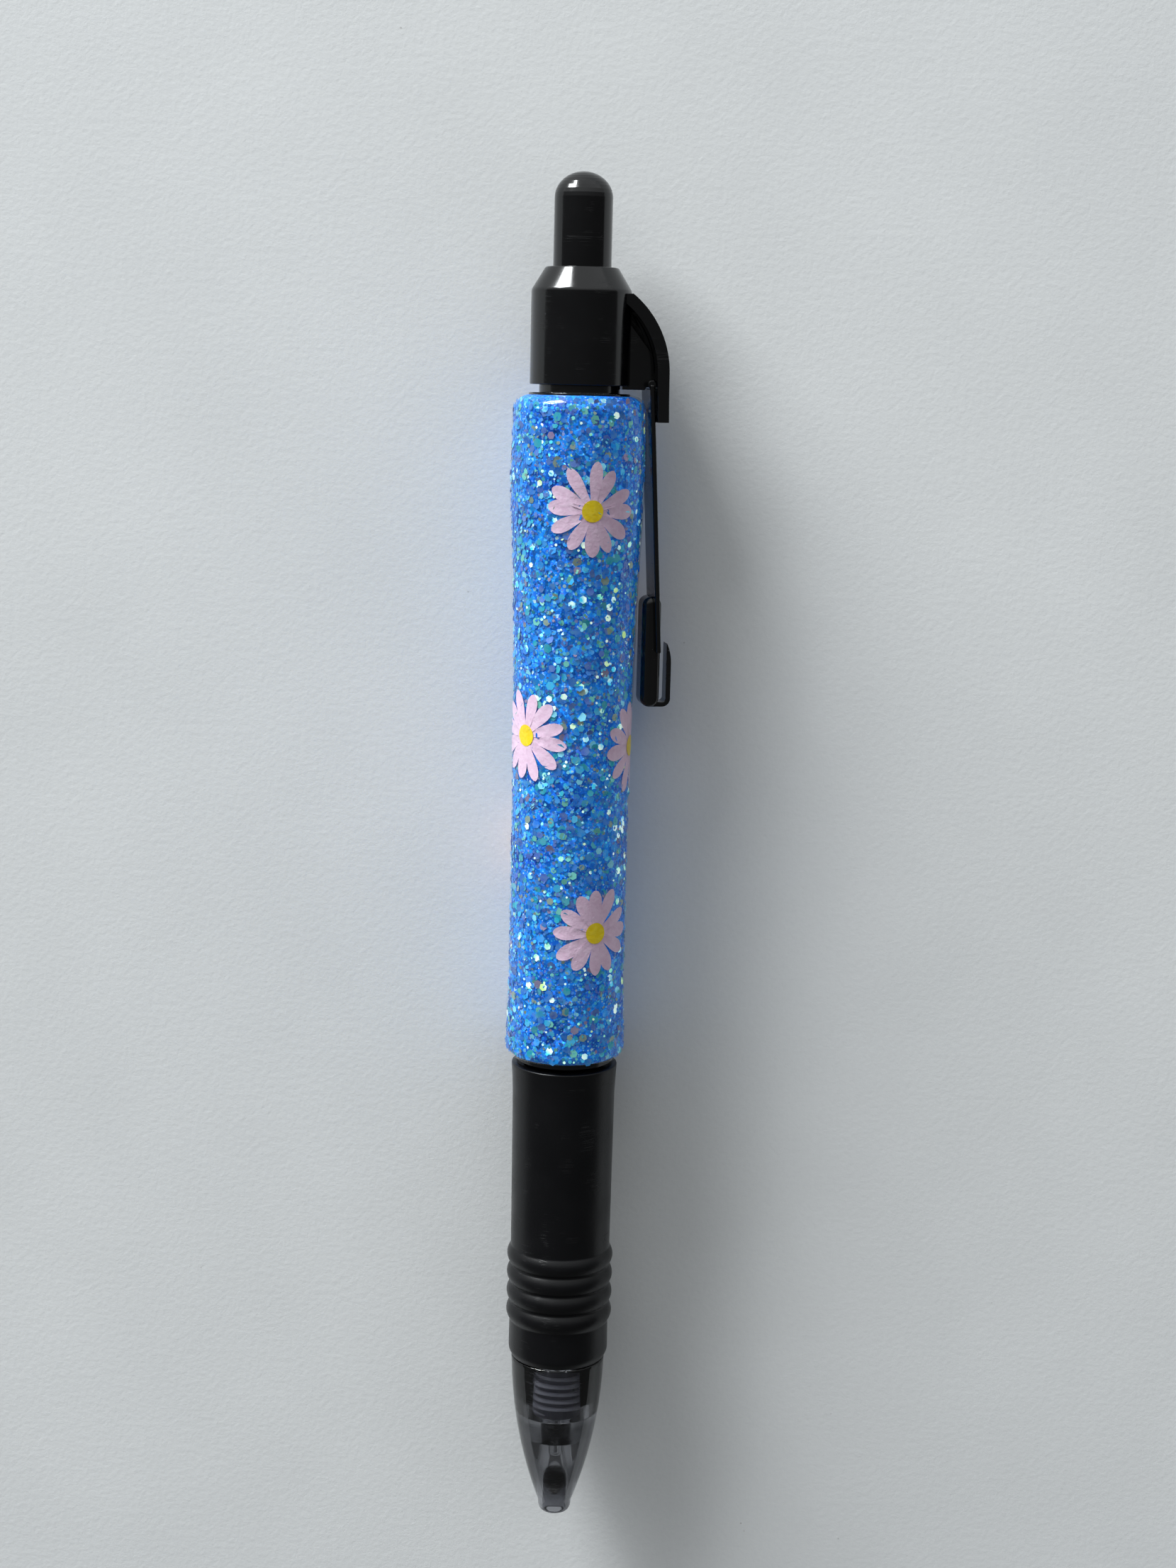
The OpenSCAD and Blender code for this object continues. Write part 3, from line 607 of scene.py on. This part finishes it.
# a darker smoke for the bore's faces: painted shade for the dark inside of the nose
BORE_SHADE = smoky_clear("bore_painted_shade", (0.11, 0.11, 0.12, 1), (0.07, 0.07, 0.078, 1))
FLAKE_BLUE = flake_blue()
FOIL = foil_flake()
RESIN = clear_resin()
SPARK = spark_flake()
PETAL = printed_film("petal_film", (0.78, 0.54, 0.68, 1), (0.70, 0.46, 0.60, 1), (0.88, 0.72, 0.82, 1))
EYE = printed_film("eye_film", (0.88, 0.64, 0.01, 1), (0.80, 0.54, 0.01, 1), (0.95, 0.80, 0.10, 1))
STEEL = turned_metal("steel_point", (0.62, 0.60, 0.55, 1), (0.50, 0.48, 0.44, 1), 0.22, 6)
WIRE = turned_metal("spring_wire", (0.70, 0.71, 0.73, 1), (0.58, 0.59, 0.62, 1), 0.16, 1)
CARBIDE = turned_metal("carbide", (0.50, 0.50, 0.52, 1), (0.42, 0.42, 0.44, 1), 0.08, 1)
WHITE = moulded("white_moulding", (0.78, 0.78, 0.75, 1), (0.70, 0.70, 0.68, 1), 0.3)
REFILL = moulded("refill_clear", (0.82, 0.84, 0.87, 1), (0.74, 0.76, 0.80, 1), 0.15, 0.7)
# lighter grey than the black tube: painted sheen for reflections in the nose's inner thread
SPIGOT_SHEEN = moulded("spigot_painted_sheen", (0.34, 0.34, 0.38, 1), (0.24, 0.24, 0.28, 1), 0.25)
# near white: painted highlight on the black thread's crests
THREAD_HIGHLIGHT = moulded("thread_painted_highlight", (0.95, 0.95, 1.0, 1), (0.75, 0.75, 0.82, 1), 0.2)
INK = moulded("gel_ink", (0.006, 0.006, 0.012, 1), (0.01, 0.01, 0.02, 1), 0.1)
GREASE = moulded("clear_grease", (0.80, 0.74, 0.52, 1), (0.72, 0.66, 0.46, 1), 0.15, 0.5)


# ---------------------------------------------------------------- camera, light, floor

def make_camera():
    """Looks down from above the collar, tipped toward the writing end and a little turned."""
    above = 245 * MM
    tilt, roll = math.radians(-9.6), math.radians(1.38)
    data = bpy.data.cameras.new("camera")
    data.sensor_width = 36
    data.lens = 54.1
    data.clip_start = 0.01
    camera = bpy.data.objects.new("camera", data)
    bpy.context.collection.objects.link(camera)
    spot = Vector((AXIS_X + 1.84 * MM, TIP_Y + COLLAR_START * MM, AXIS_Z + above))
    turn = Matrix.Rotation(tilt, 4, "X") @ Matrix.Rotation(roll, 4, "Z")
    camera.matrix_world = Matrix.Translation(spot) @ turn
    bpy.context.scene.camera = camera


def make_panel(name, spot, aim, size, power, colour):
    data = bpy.data.lights.new(name, "AREA")
    data.shape = "RECTANGLE"
    data.size, data.size_y = size
    data.energy = power
    data.color = colour
    panel = bpy.data.objects.new(name, data)
    bpy.context.collection.objects.link(panel)
    panel.location = spot
    panel.rotation_euler = (Vector(aim) - Vector(spot)).to_track_quat("-Z", "Y").to_euler()
    return panel


def make_light():
    """A dim room whose light comes from one side: a low window beyond the button, to the left."""
    world = bpy.data.worlds.new("room")
    bpy.context.scene.world = world
    world.use_nodes = True
    tree = world.node_tree
    sky = tree.nodes["Background"]
    coords = tree.nodes.new("ShaderNodeTexCoord").outputs["Generated"]
    split = add_node(tree, "ShaderNodeSeparateXYZ", Vector=coords)
    ahead = fade(tree, split.outputs["Y"], 0.15, 0.95)
    aside = fade(tree, split.outputs["X"], -1.0, 1.0, 1.25, 0.75)
    glow = calc(tree, "ADD", calc(tree, "MULTIPLY", ahead, 1.5), 0.14)
    tone = palette(tree, calc(tree, "MULTIPLY", glow, aside), [
        (0.0, (0.0, 0.0, 0.0)), (1.0, (0.95, 0.985, 1.0))], hold=False)
    tree.links.new(tone, sky.inputs["Color"])
    sky.inputs["Strength"].default_value = 1.0
    make_panel("window", (-0.70, 1.09, 0.33), (0, 0.02, 0), (0.60, 0.50), 33.0, (0.96, 0.99, 1.0))


def make_floor():
    half = 1.5
    bpy.ops.mesh.primitive_plane_add(size=2 * half, location=(0, 0, 0))
    floor = bpy.context.object
    floor.name = "paper"
    floor.data.materials.append(paper_sheet())


# ---------------------------------------------------------------- glitter sleeve

def sleeve_radius(height):
    """Outer radius of the sleeve: narrow at the waist, swelling near the clip."""
    u = (height - SLEEVE_START) / (SLEEVE_END - SLEEVE_START)
    foot = 0.21 * math.exp(-((u / 0.1) ** 2))
    swell = SWELL_GROWTH * math.exp(-(((u - 0.913) / 0.23) ** 2))
    return SLEEVE_WAIST + foot + swell


def hand_cast(height, turn):
    """Slow unevenness of resin that set while it was turned by hand."""
    spot = Vector((math.sin(turn) * 0.8, math.cos(turn) * 0.8, height * 0.11))
    return 0.07 * (noise.noise(spot) - 0.25)


FOOT_ROUND, TOP_ROUND = 1.3, 1.9


def sleeve_outline(inset, steps):
    foot_corner, top_corner = FOOT_ROUND - inset, TOP_ROUND - inset
    low, high = SLEEVE_START + FOOT_ROUND, SLEEVE_END - TOP_ROUND
    bore = 5.21
    line = [(bore, low - foot_corner)]
    foot_x, top_x = sleeve_radius(low) - FOOT_ROUND, sleeve_radius(high) - TOP_ROUND
    for i in range(9):
        a = math.radians(-90 + 90 * i / 8)
        line.append((foot_x + foot_corner * math.cos(a), low + foot_corner * math.sin(a)))
    for i in range(1, steps):
        height = low + (high - low) * i / steps
        line.append((sleeve_radius(height) - inset, height))
    for i in range(9):
        a = math.radians(90 * i / 8)
        line.append((top_x + top_corner * math.cos(a), high + top_corner * math.sin(a)))
    line.append((bore, high + top_corner))
    return line


COAT_SHOWN = 0.24  # the resin magnifies what lies in it, so the flakes seem this close under it


def glitter_surface(height):
    return sleeve_radius(height) - COAT_SHOWN


FLAKE_TINTS = [
    ((0.008, 0.14, 0.58), 24), ((0.012, 0.26, 0.76), 20), ((0.04, 0.42, 0.74), 12),
    ((0.02, 0.34, 0.46), 12), ((0.14, 0.50, 0.42), 5), ((0.22, 0.27, 0.22), 5),
    ((0.06, 0.12, 0.44), 16), ((0.24, 0.17, 0.30), 4), ((0.20, 0.62, 0.80), 5),
]
SPARK_TINTS = [((0.25, 0.90, 0.62), 4), ((0.55, 0.85, 0.30), 3), ((0.06, 0.62, 0.92), 7)]


def scatter_flakes(name, count, size, sink, tip_angle, seed, kinds, material):
    """Six-sided foil flakes laid at random under the clear coat, as one mesh with tints."""
    draw = random.Random(seed)
    tints, weights = zip(*kinds)
    points, faces, colours = [], [], []
    for _ in range(count):
        height = draw.uniform(SLEEVE_START + 0.7, SLEEVE_END - 0.7)
        turn = draw.uniform(0, FULL_TURN)
        radius = size * draw.uniform(0.75, 1.2) / 2
        drop = end_drop(height)
        depth = glitter_surface(height) - drop + draw.uniform(*sink) + hand_cast(height, turn)
        lean = Euler((draw.gauss(0, tip_angle), draw.gauss(0, tip_angle), draw.uniform(0, 6.3)))
        frame_of = Matrix((
            (math.cos(turn), 0, math.sin(turn)),
            (0, 1, 0),
            (-math.sin(turn), 0, math.cos(turn)))) @ lean.to_matrix()
        centre = place(depth, height, turn)
        first = len(points)
        for k in range(6):
            a = math.radians(60 * k)
            points.append(centre + frame_of @ Vector((math.cos(a), math.sin(a), 0)) * radius * MM)
        faces.append(tuple(range(first, first + 6)))
        tint = draw.choices(tints, weights)[0]
        level = draw.uniform(0.75, 1.15)
        colours.append([min(1.0, c * level) for c in tint])
    piece = make_piece(name, points, faces, material, smooth=False)
    layer = piece.data.attributes.new("tint", "FLOAT_COLOR", "CORNER")
    for face, colour in zip(piece.data.polygons, colours):
        for corner in face.loop_indices:
            layer.data[corner].color = (*colour, 1)
    return piece


def end_drop(height):
    """How far the rounded ends of the sleeve fall below its side, at a height."""
    over_foot = max(0.0, SLEEVE_START + FOOT_ROUND - height)
    over_top = max(0.0, height - SLEEVE_END + TOP_ROUND)
    foot = FOOT_ROUND - math.sqrt(max(0.0, FOOT_ROUND ** 2 - over_foot ** 2))
    top = TOP_ROUND - math.sqrt(max(0.0, TOP_ROUND ** 2 - over_top ** 2))
    return foot + top


def make_sleeve():
    body = turned("glitter_body", sleeve_outline(COAT_SHOWN, 120), FLAKE_BLUE, 256, hand_cast)
    coat = turned("clear_top_coat", sleeve_outline(0, 120), RESIN, 256, hand_cast)
    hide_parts("glitter_coat")
    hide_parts("clear_coat")
    flakes = [
        scatter_flakes("large_flakes", 2300, 0.84, (0.02, 0.11), 0.14, 11, FLAKE_TINTS, FOIL),
        scatter_flakes("small_flakes", 9000, 0.38, (0.01, 0.10), 0.16, 23, FLAKE_TINTS, FOIL),
        # the spark flakes are bright through painted glints and a painted glow
        scatter_flakes("spark_flakes", 190, 0.72, (0.06, 0.10), 0.08, 37, SPARK_TINTS, SPARK),
        scatter_flakes("spark_specks", 520, 0.30, (0.06, 0.10), 0.10, 41, SPARK_TINTS, SPARK),
    ]
    for piece in [body, coat] + flakes:
        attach(piece, "body")


DAISIES = [(58.4, 14), (35.1, -49), (14.6, 29), (33.9, 78), (48, 152), (22, -146), (6.5, 178)]


def film_patch(outline, height, turn, lift):
    """Points of a flat outline (along, across) in mm, wrapped round the sleeve."""
    points = []
    for along, across in outline:
        spot = height + along
        radius = glitter_surface(spot) + lift
        angle = turn + across / radius
        points.append(place(radius + hand_cast(spot, angle), spot, angle))
    return points


def petal_outline(reach, half_width, angle, steps=10):
    """A rounded petal: narrow at the eye, widest near its round end."""
    line = []
    shape = [(0.16, 0.45), (0.38, 0.68), (0.55, 0.90), (0.70, 1.0), (0.82, 0.93), (0.91, 0.70),
             (0.97, 0.40), (1.0, 0.0)]
    upper = [(reach * x, half_width * y) for x, y in shape]
    lower = [(x, -y) for x, y in reversed(upper[:-1])]
    for x, y in upper + lower:
        line.append((x * math.cos(angle) - y * math.sin(angle),
                     x * math.sin(angle) + y * math.cos(angle)))
    return line


def make_daisies():
    draw = random.Random(5)
    petals, eyes = ([], []), ([], [])
    for along, turn in DAISIES:
        height, turn = SLEEVE_START + along, math.radians(turn)
        count = draw.choice((11, 12, 12))
        start = draw.uniform(0, FULL_TURN)
        for k in range(count):
            angle = start + FULL_TURN * (k + draw.uniform(-0.16, 0.16)) / count
            reach = 4.95 * draw.uniform(0.90, 1.02)
            line = petal_outline(reach, 0.76 * draw.uniform(0.88, 1.1), angle)
            middle = (reach * 0.6 * math.cos(angle), reach * 0.6 * math.sin(angle))
            ring = film_patch(line, height, turn, 0.195)
            hub = film_patch([middle], height, turn, 0.208)
            points, faces = petals
            first = len(points)
            points += ring + hub
            size = len(ring)
            faces += [(first + i, first + (i + 1) % size, first + size) for i in range(size)]
        points, faces = eyes
        first = len(points)
        rim = [(1.12 * math.cos(a), 1.12 * math.sin(a))
               for a in (FULL_TURN * i / 24 for i in range(24))]
        points += film_patch(rim, height, turn, 0.218) + film_patch([(0, 0)], height, turn, 0.224)
        faces += [(first + i, first + (i + 1) % 24, first + 24) for i in range(24)]
    for name, (points, faces), material, node, finish in (
            ("petals", petals, PETAL, "daisy_petals", "petal_pink"),
            ("daisy_middles", eyes, EYE, "daisy_eyes", "eye_yellow")):
        piece = make_piece(name, points, faces, material)
        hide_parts(node)
        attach(piece, "body")


# ---------------------------------------------------------------- nose

NOSE_ROUND, TIP_RADIUS, CONE_WIDTH = 1.2, 1.85, 5.07


def cone_radius(height):
    """Outer radius of the nose: an arc that runs level just behind the grip's edge."""
    run, fall = CONE_END + 0.7 - NOSE_ROUND, CONE_WIDTH - TIP_RADIUS
    arc = (run ** 2 + fall ** 2) / (2 * fall)
    back = CONE_END + 0.7 - height
    return CONE_WIDTH - arc + math.sqrt(arc ** 2 - back ** 2)


def recolour(piece, material, width, low, high):
    """Gives a second material to the faces inside a width, between two heights."""
    piece.data.materials.append(material)
    for face in piece.data.polygons:
        height = (face.center.y - TIP_Y) / MM
        off = math.hypot(face.center.x - AXIS_X, face.center.z - AXIS_Z) / MM
        if off < width and low < height < high:
            face.material_index = 1


def make_nose():
    spigot = span("barrel")[0]
    ledge = span("return_spring")[0] - 0.05
    land = 1.36
    line = [(1.22, 3.3), (1.22, 0.25), (1.28, 0.06), (land, 0.0)]
    for step in range(1, 7):
        a = math.radians(15 * step)
        line.append((land + (TIP_RADIUS - land) * math.sin(a), NOSE_ROUND * (1 - math.cos(a))))
    line += side_line(cone_radius, 1.4, CONE_END - 0.1, 60)
    line += [(5.0, CONE_END), (3.98, CONE_END), (3.9, CONE_END - 0.1)]
    line += [(3.88, spigot - 0.05), (3.82, spigot - 0.12), (2.36, spigot - 0.12), (2.3, spigot - 0.2)]
    line += [(2.3, ledge + 0.05), (2.25, ledge), (2.15, ledge)]
    cone = turned("nose", line, CLEAR, 192)
    # the bore's faces get the darker smoke: painted shade
    recolour(cone, BORE_SHADE, 2.4, 3.2, spigot)
    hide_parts("nose_cone")
    for piece in (cone, make_fins(ledge)):
        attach(piece, "nose")


def make_fins(ledge):
    """Six thin fins that stand in the passage under the spring."""
    points, faces = [], []
    half, inner, outer, reach = 0.2, 1.45, 2.12, 4.0
    for k in range(6):
        turn = math.radians(30 + 60 * k)
        side = Vector((math.cos(turn), 0, -math.sin(turn)))
        first = len(points)
        for shift in (-half, half):
            for radius, height in ((inner, ledge - reach), (inner, ledge), (outer, ledge)):
                points.append(place(radius, height, turn) + side * shift * MM)
        faces += [(first, first + 1, first + 2), (first + 5, first + 4, first + 3)]
        for i in range(3):
            j = (i + 1) % 3
            faces.append((first + i, first + 3 + i, first + 3 + j, first + j))
    fins = make_piece("nose_fins", points, faces, CLEAR, smooth=False)
    keep_outward(fins)
    return fins


def make_spring():
    low, high = span("return_spring")
    wire, middle, turns, rings, sides = 0.19, 1.88, 11, 40, 12
    start, length = low + wire, high - low - 2 * wire
    closed = 2 * wire + 0.03
    opened = (length - 2 * closed) / (turns - 2)
    points, faces = [], []
    last = turns * rings
    for i in range(last + 1):
        turn = i / rings
        rise = min(turn, 1) * closed + max(0, min(turn - 1, turns - 2)) * opened
        rise += max(0, turn - turns + 1) * closed
        for j in range(sides):
            b = FULL_TURN * j / sides
            points.append(place(middle + wire * math.cos(b), start + rise + wire * math.sin(b),
                                FULL_TURN * turn))
    for i in range(last):
        for j in range(sides):
            k = (j + 1) % sides
            faces.append((i * sides + j, i * sides + k, (i + 1) * sides + k, (i + 1) * sides + j))
    faces.append(tuple(range(sides)))
    faces.append(tuple(last * sides + j for j in reversed(range(sides))))
    spring = make_piece("spring", points, faces, WIRE)
    keep_outward(spring)
    spring.data.shade_smooth()
    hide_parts("return_spring")
    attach(spring, "spring")
    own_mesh(spring)


def make_point():
    low, high = span("metal_point")
    line = [(0.25, low + 0.1), (0.33, low), (0.41, low), (0.44, low + 0.08),
            (0.74, low + 0.62), (0.80, low + 0.70), (1.10, low + 1.36), (1.13, low + 1.46),
            (1.13, high), (0.25, high)]
    point = turned("point", rounded(line, 0.03, 3), STEEL, 96)
    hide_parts("metal_point")
    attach(point, "refill")
    size, outline = 0.35, []
    for i in range(31):
        a = math.radians(6 * i)
        outline.append((size * math.sin(a), low - size * math.cos(a)))
    ball = turned("ball", outline, CARBIDE, 64)
    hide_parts("writing_ball")
    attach(ball, "refill")


# ---------------------------------------------------------------- barrel and grip

def make_barrel():
    """The tube: threaded spigot inside the nose, bare ring by the sleeve and neck above it."""
    start, end = span("barrel")
    line = [(2.88, start, 0.06), (3.42, start, 0.15), (3.5, start + 0.2, 0), (3.5, CONE_END, 0),
            (4.4, CONE_END + 0.05, 0.05), (4.4, SLEEVE_START - 0.4, 0), (5.2, SLEEVE_START - 0.35, 0.1),
            (5.2, SLEEVE_END, 0.12), (4.15, SLEEVE_END, 0.1), (4.15, end, 0.2), (3.52, end, 0.1),
            (3.52, start + 26, 0), (2.88, start + 26, 0)]
    tube = turned("barrel_tube", rounded(line), BLACK, 160)
    # the spigot inside the nose is coloured grey: painted sheen, the tube itself is black
    recolour(tube, SPIGOT_SHEEN, 3.6, start - 0.1, CONE_END)
    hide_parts("barrel")
    for piece in (tube, make_thread(start)):
        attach(piece, "body")


def make_thread(start):
    """A right-handed ridge wound on the spigot, coloured near white as a painted highlight on its
    crests.
    """
    pitch, turns, rings = 0.85, 5.2, 72
    section = [(3.44, -0.30), (3.72, -0.10), (3.79, -0.03), (3.79, 0.03), (3.72, 0.10), (3.44, 0.30)]
    points, faces = [], []
    last = int(turns * rings)
    for i in range(last + 1):
        turn = i / rings
        ease = min(1.0, turn / 0.3, (turns - turn) / 0.3)
        for radius, rise in section:
            grown = 3.44 + (radius - 3.44) * ease
            points.append(place(grown, start + 0.45 + pitch * turn + rise * 0.9, -FULL_TURN * turn))
    size = len(section)
    for i in range(last):
        for j in range(size):
            k = (j + 1) % size
            faces.append((i * size + j, i * size + k, (i + 1) * size + k, (i + 1) * size + j))
    faces.append(tuple(range(size)))
    faces.append(tuple(last * size + j for j in reversed(range(size))))
    thread = make_piece("thread", points, faces, THREAD_HIGHLIGHT)
    keep_outward(thread)
    thread.data.shade_smooth()
    return thread


RIB_START, RIB_PITCH, RIB_COUNT = 5.2, 2.13, 4


def grip_radius(height):
    """Outer radius of the rubber: nose band, four round ribs, waist and flared top."""
    along = height - GRIP_START
    length = GRIP_END - GRIP_START
    waist = 5.37 + 0.14 * max(0.0, (along - 12.5) / (length - 12.5)) ** 1.2
    flare = 0.16 * max(0.0, (along - (length - 3.6)) / 3.6) ** 1.5
    nose = 0.05 * max(0.0, 1 - along / 4)
    ribs = 0.0
    for i in range(RIB_COUNT):
        off = abs(along - RIB_START - RIB_PITCH * i) / (RIB_PITCH * 0.47)
        if off < 1:
            ribs = max(ribs, 0.37 * math.cos(off * math.pi / 2) ** 0.9)
    return waist + flare + nose + ribs


def make_grip():
    bore = 4.41
    line = [(bore, GRIP_START, 0.03), (5.02, GRIP_START, 0.2),
            (grip_radius(GRIP_START) - 0.03, GRIP_START + 0.75, 0.4)]
    line += [(x, y, 0) for x, y in side_line(grip_radius, GRIP_START + 1.3, GRIP_END - 0.45, 330)]
    line += [(grip_radius(GRIP_END) - 0.02, GRIP_END - 0.1, 0.25), (5.25, GRIP_END, 0.15),
             (bore, GRIP_END, 0.03)]
    grip = turned("grip_sleeve", rounded(line, 0.2, 5), RUBBER, 192)
    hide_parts("grip")
    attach(grip, "body")


# ---------------------------------------------------------------- collar and clip

SHOULDER = COLLAR_START + 9.5


def make_collar():
    line = [(4.17, COLLAR_START, 0.05), (5.13, COLLAR_START, 0.10), (5.13, SHOULDER, 0.22),
            (3.72, COLLAR_END, 0.16), (3.03, COLLAR_END, 0.12), (3.03, COLLAR_END - 2.5, 0.1),
            (3.52, COLLAR_END - 2.5, 0), (3.52, COLLAR_START + 6.35, 0), (4.17, COLLAR_START + 6.35, 0)]
    shell = turned("collar_shell", rounded(line, 0.1, 6), BLACK, 192)
    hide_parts("collar")
    arm = make_arm()
    for piece in (shell, arm):
        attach(piece, "body")


def make_arm():
    """The arched band that leaves the collar's shoulder, with the thin web inside it."""
    reach, curve, thick = 8.8, 10.0, 1.25
    low, bend = COLLAR_START - 3.6, COLLAR_START + 1.3
    centre = reach - curve
    steps = 40
    top = math.asin((SHOULDER - 0.25 - bend) / curve)
    top_in = math.asin((SHOULDER - 0.25 - bend) / (curve - thick))
    outer = [(reach + 0.08, low), (reach + 0.03, low + 2.0)]
    outer += [(centre + curve * math.cos(top * i / steps), bend + curve * math.sin(top * i / steps))
              for i in range(steps + 1)]
    inner_curve = curve - thick
    inner = [(centre + inner_curve * math.cos(top_in * i / steps),
              bend + inner_curve * math.sin(top_in * i / steps)) for i in reversed(range(steps + 1))]
    inner += [(reach - thick + 0.1, low + 2.0), (reach - thick + 0.16, low)]
    corners = outer + inner
    band = block("arm_band", corners, [6.0] * len(corners), BLACK, 0.22)
    web_low = SLEEVE_END + 0.45
    web = [(4.3, SHOULDER - 0.5), (4.3, web_low), (6.6, web_low), (6.9, web_low + 0.5),
           (7.75, web_low + 1.2)]
    web += [(x, y) for x, y in reversed(inner[2:steps])]
    web_block = block("arm_web", web, [2.2] * len(web), BLACK, 0.1)
    return joined("clip_arm", [band, web_block])


def make_clip():
    """Blade, pad and hook, joined as one moulding."""
    low, high = CLIP_START, CLIP_END
    pivot = high - 0.45
    lean = math.tan(math.radians(3))
    pad_in, pad_out = 6.95, 8.95
    pivot_x = SLEEVE_WAIST + 1.22 - (pivot - (SLEEVE_START + 0.913 * (
        SLEEVE_END - SLEEVE_START))) * lean
    steps = 30
    blade_low = low + 5.8
    outer, inner = [], []
    for i in range(steps + 1):
        height = pivot - (pivot - blade_low) * i / steps
        middle = pivot_x + (pivot - height) * lean
        outer.append((middle + 0.25, height))
        inner.append((middle - 0.25, height))
    corners = outer + inner[::-1]
    blade = block("blade", corners, [5.2] * len(corners), BLACK, 0.16)
    bar = []
    for i in range(24):
        a = FULL_TURN * i / 24
        bar.append((pivot_x + 0.45 * math.cos(a), pivot + 0.45 * math.sin(a)))
    pivot_bar = block("pivot_bar", bar, [4.8] * 24, BLACK, 0.08)
    pad = []
    rise, half = 11.6, (pad_out - pad_in) / 2
    middle = (pad_in + pad_out) / 2
    for i in range(13):
        a = math.pi * i / 12
        pad.append((middle + half * math.cos(a), low + rise - half * 0.9 + half * 0.9 * math.sin(a)))
    for i in range(13):
        a = math.pi + math.pi * i / 12
        pad.append((middle + half * math.cos(a), low + half + half * math.sin(a)))
    pad_block = block("pad", pad, [3.6] * len(pad), BLACK, 0.7, 6)
    gap, lip = 0.75, 0.5
    bend = gap / 2 + lip
    bend_x, bend_z = pad_out + gap / 2, low + bend
    hook = [(middle, low), (bend_x - 0.1, low)]
    for i in range(13):
        a = -math.pi / 2 + math.pi / 2 * i / 12
        hook.append((bend_x + bend * math.cos(a), bend_z + bend * math.sin(a)))
    lip_out, lip_top = bend_x + bend, low + 6.7
    for i in range(9):
        t = i / 8
        hook.append((lip_out - lip * 0.95 * t ** 2.2, lip_top - 2.2 * (1 - t)))
    hook.append((lip_out - lip, lip_top - 0.3))
    for i in range(13):
        a = math.pi / 2 * (1 - i / 12) - math.pi / 2
        hook.append((bend_x + gap / 2 * math.cos(a), bend_z + gap / 2 * math.sin(a)))
    hook.append((pad_out - 0.2, bend_z - gap / 2 + 0.05))
    hook.append((middle, low + 0.7))
    hook_block = block("hook", hook, [2.2] * len(hook), BLACK, 0.12)
    clip = joined("clip_blade", [blade, pivot_bar, pad_block, hook_block])
    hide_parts("clip")
    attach(clip, "clip")


def finish_inner_parts():
    """Puts the finishes on the parts that keep their own shape."""
    looks = {
        "cam_guide": WHITE, "cam_rotor": WHITE, "refill_tube": REFILL, "refill_plug": WHITE,
        "ink": INK, "ink_grease": GREASE, "tip_holder": REFILL, "push_button": BLACK,
    }
    for node, material in looks.items():
        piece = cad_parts[node]
        for place_in in piece.material_slots:
            place_in.material = material


make_camera()
make_light()
make_floor()
make_sleeve()
make_daisies()
make_nose()
make_spring()
make_point()
make_barrel()
make_grip()
make_collar()
make_clip()
finish_inner_parts()

scene = bpy.context.scene
scene.view_settings.view_transform = "Standard"
scene.view_settings.exposure = 0.0
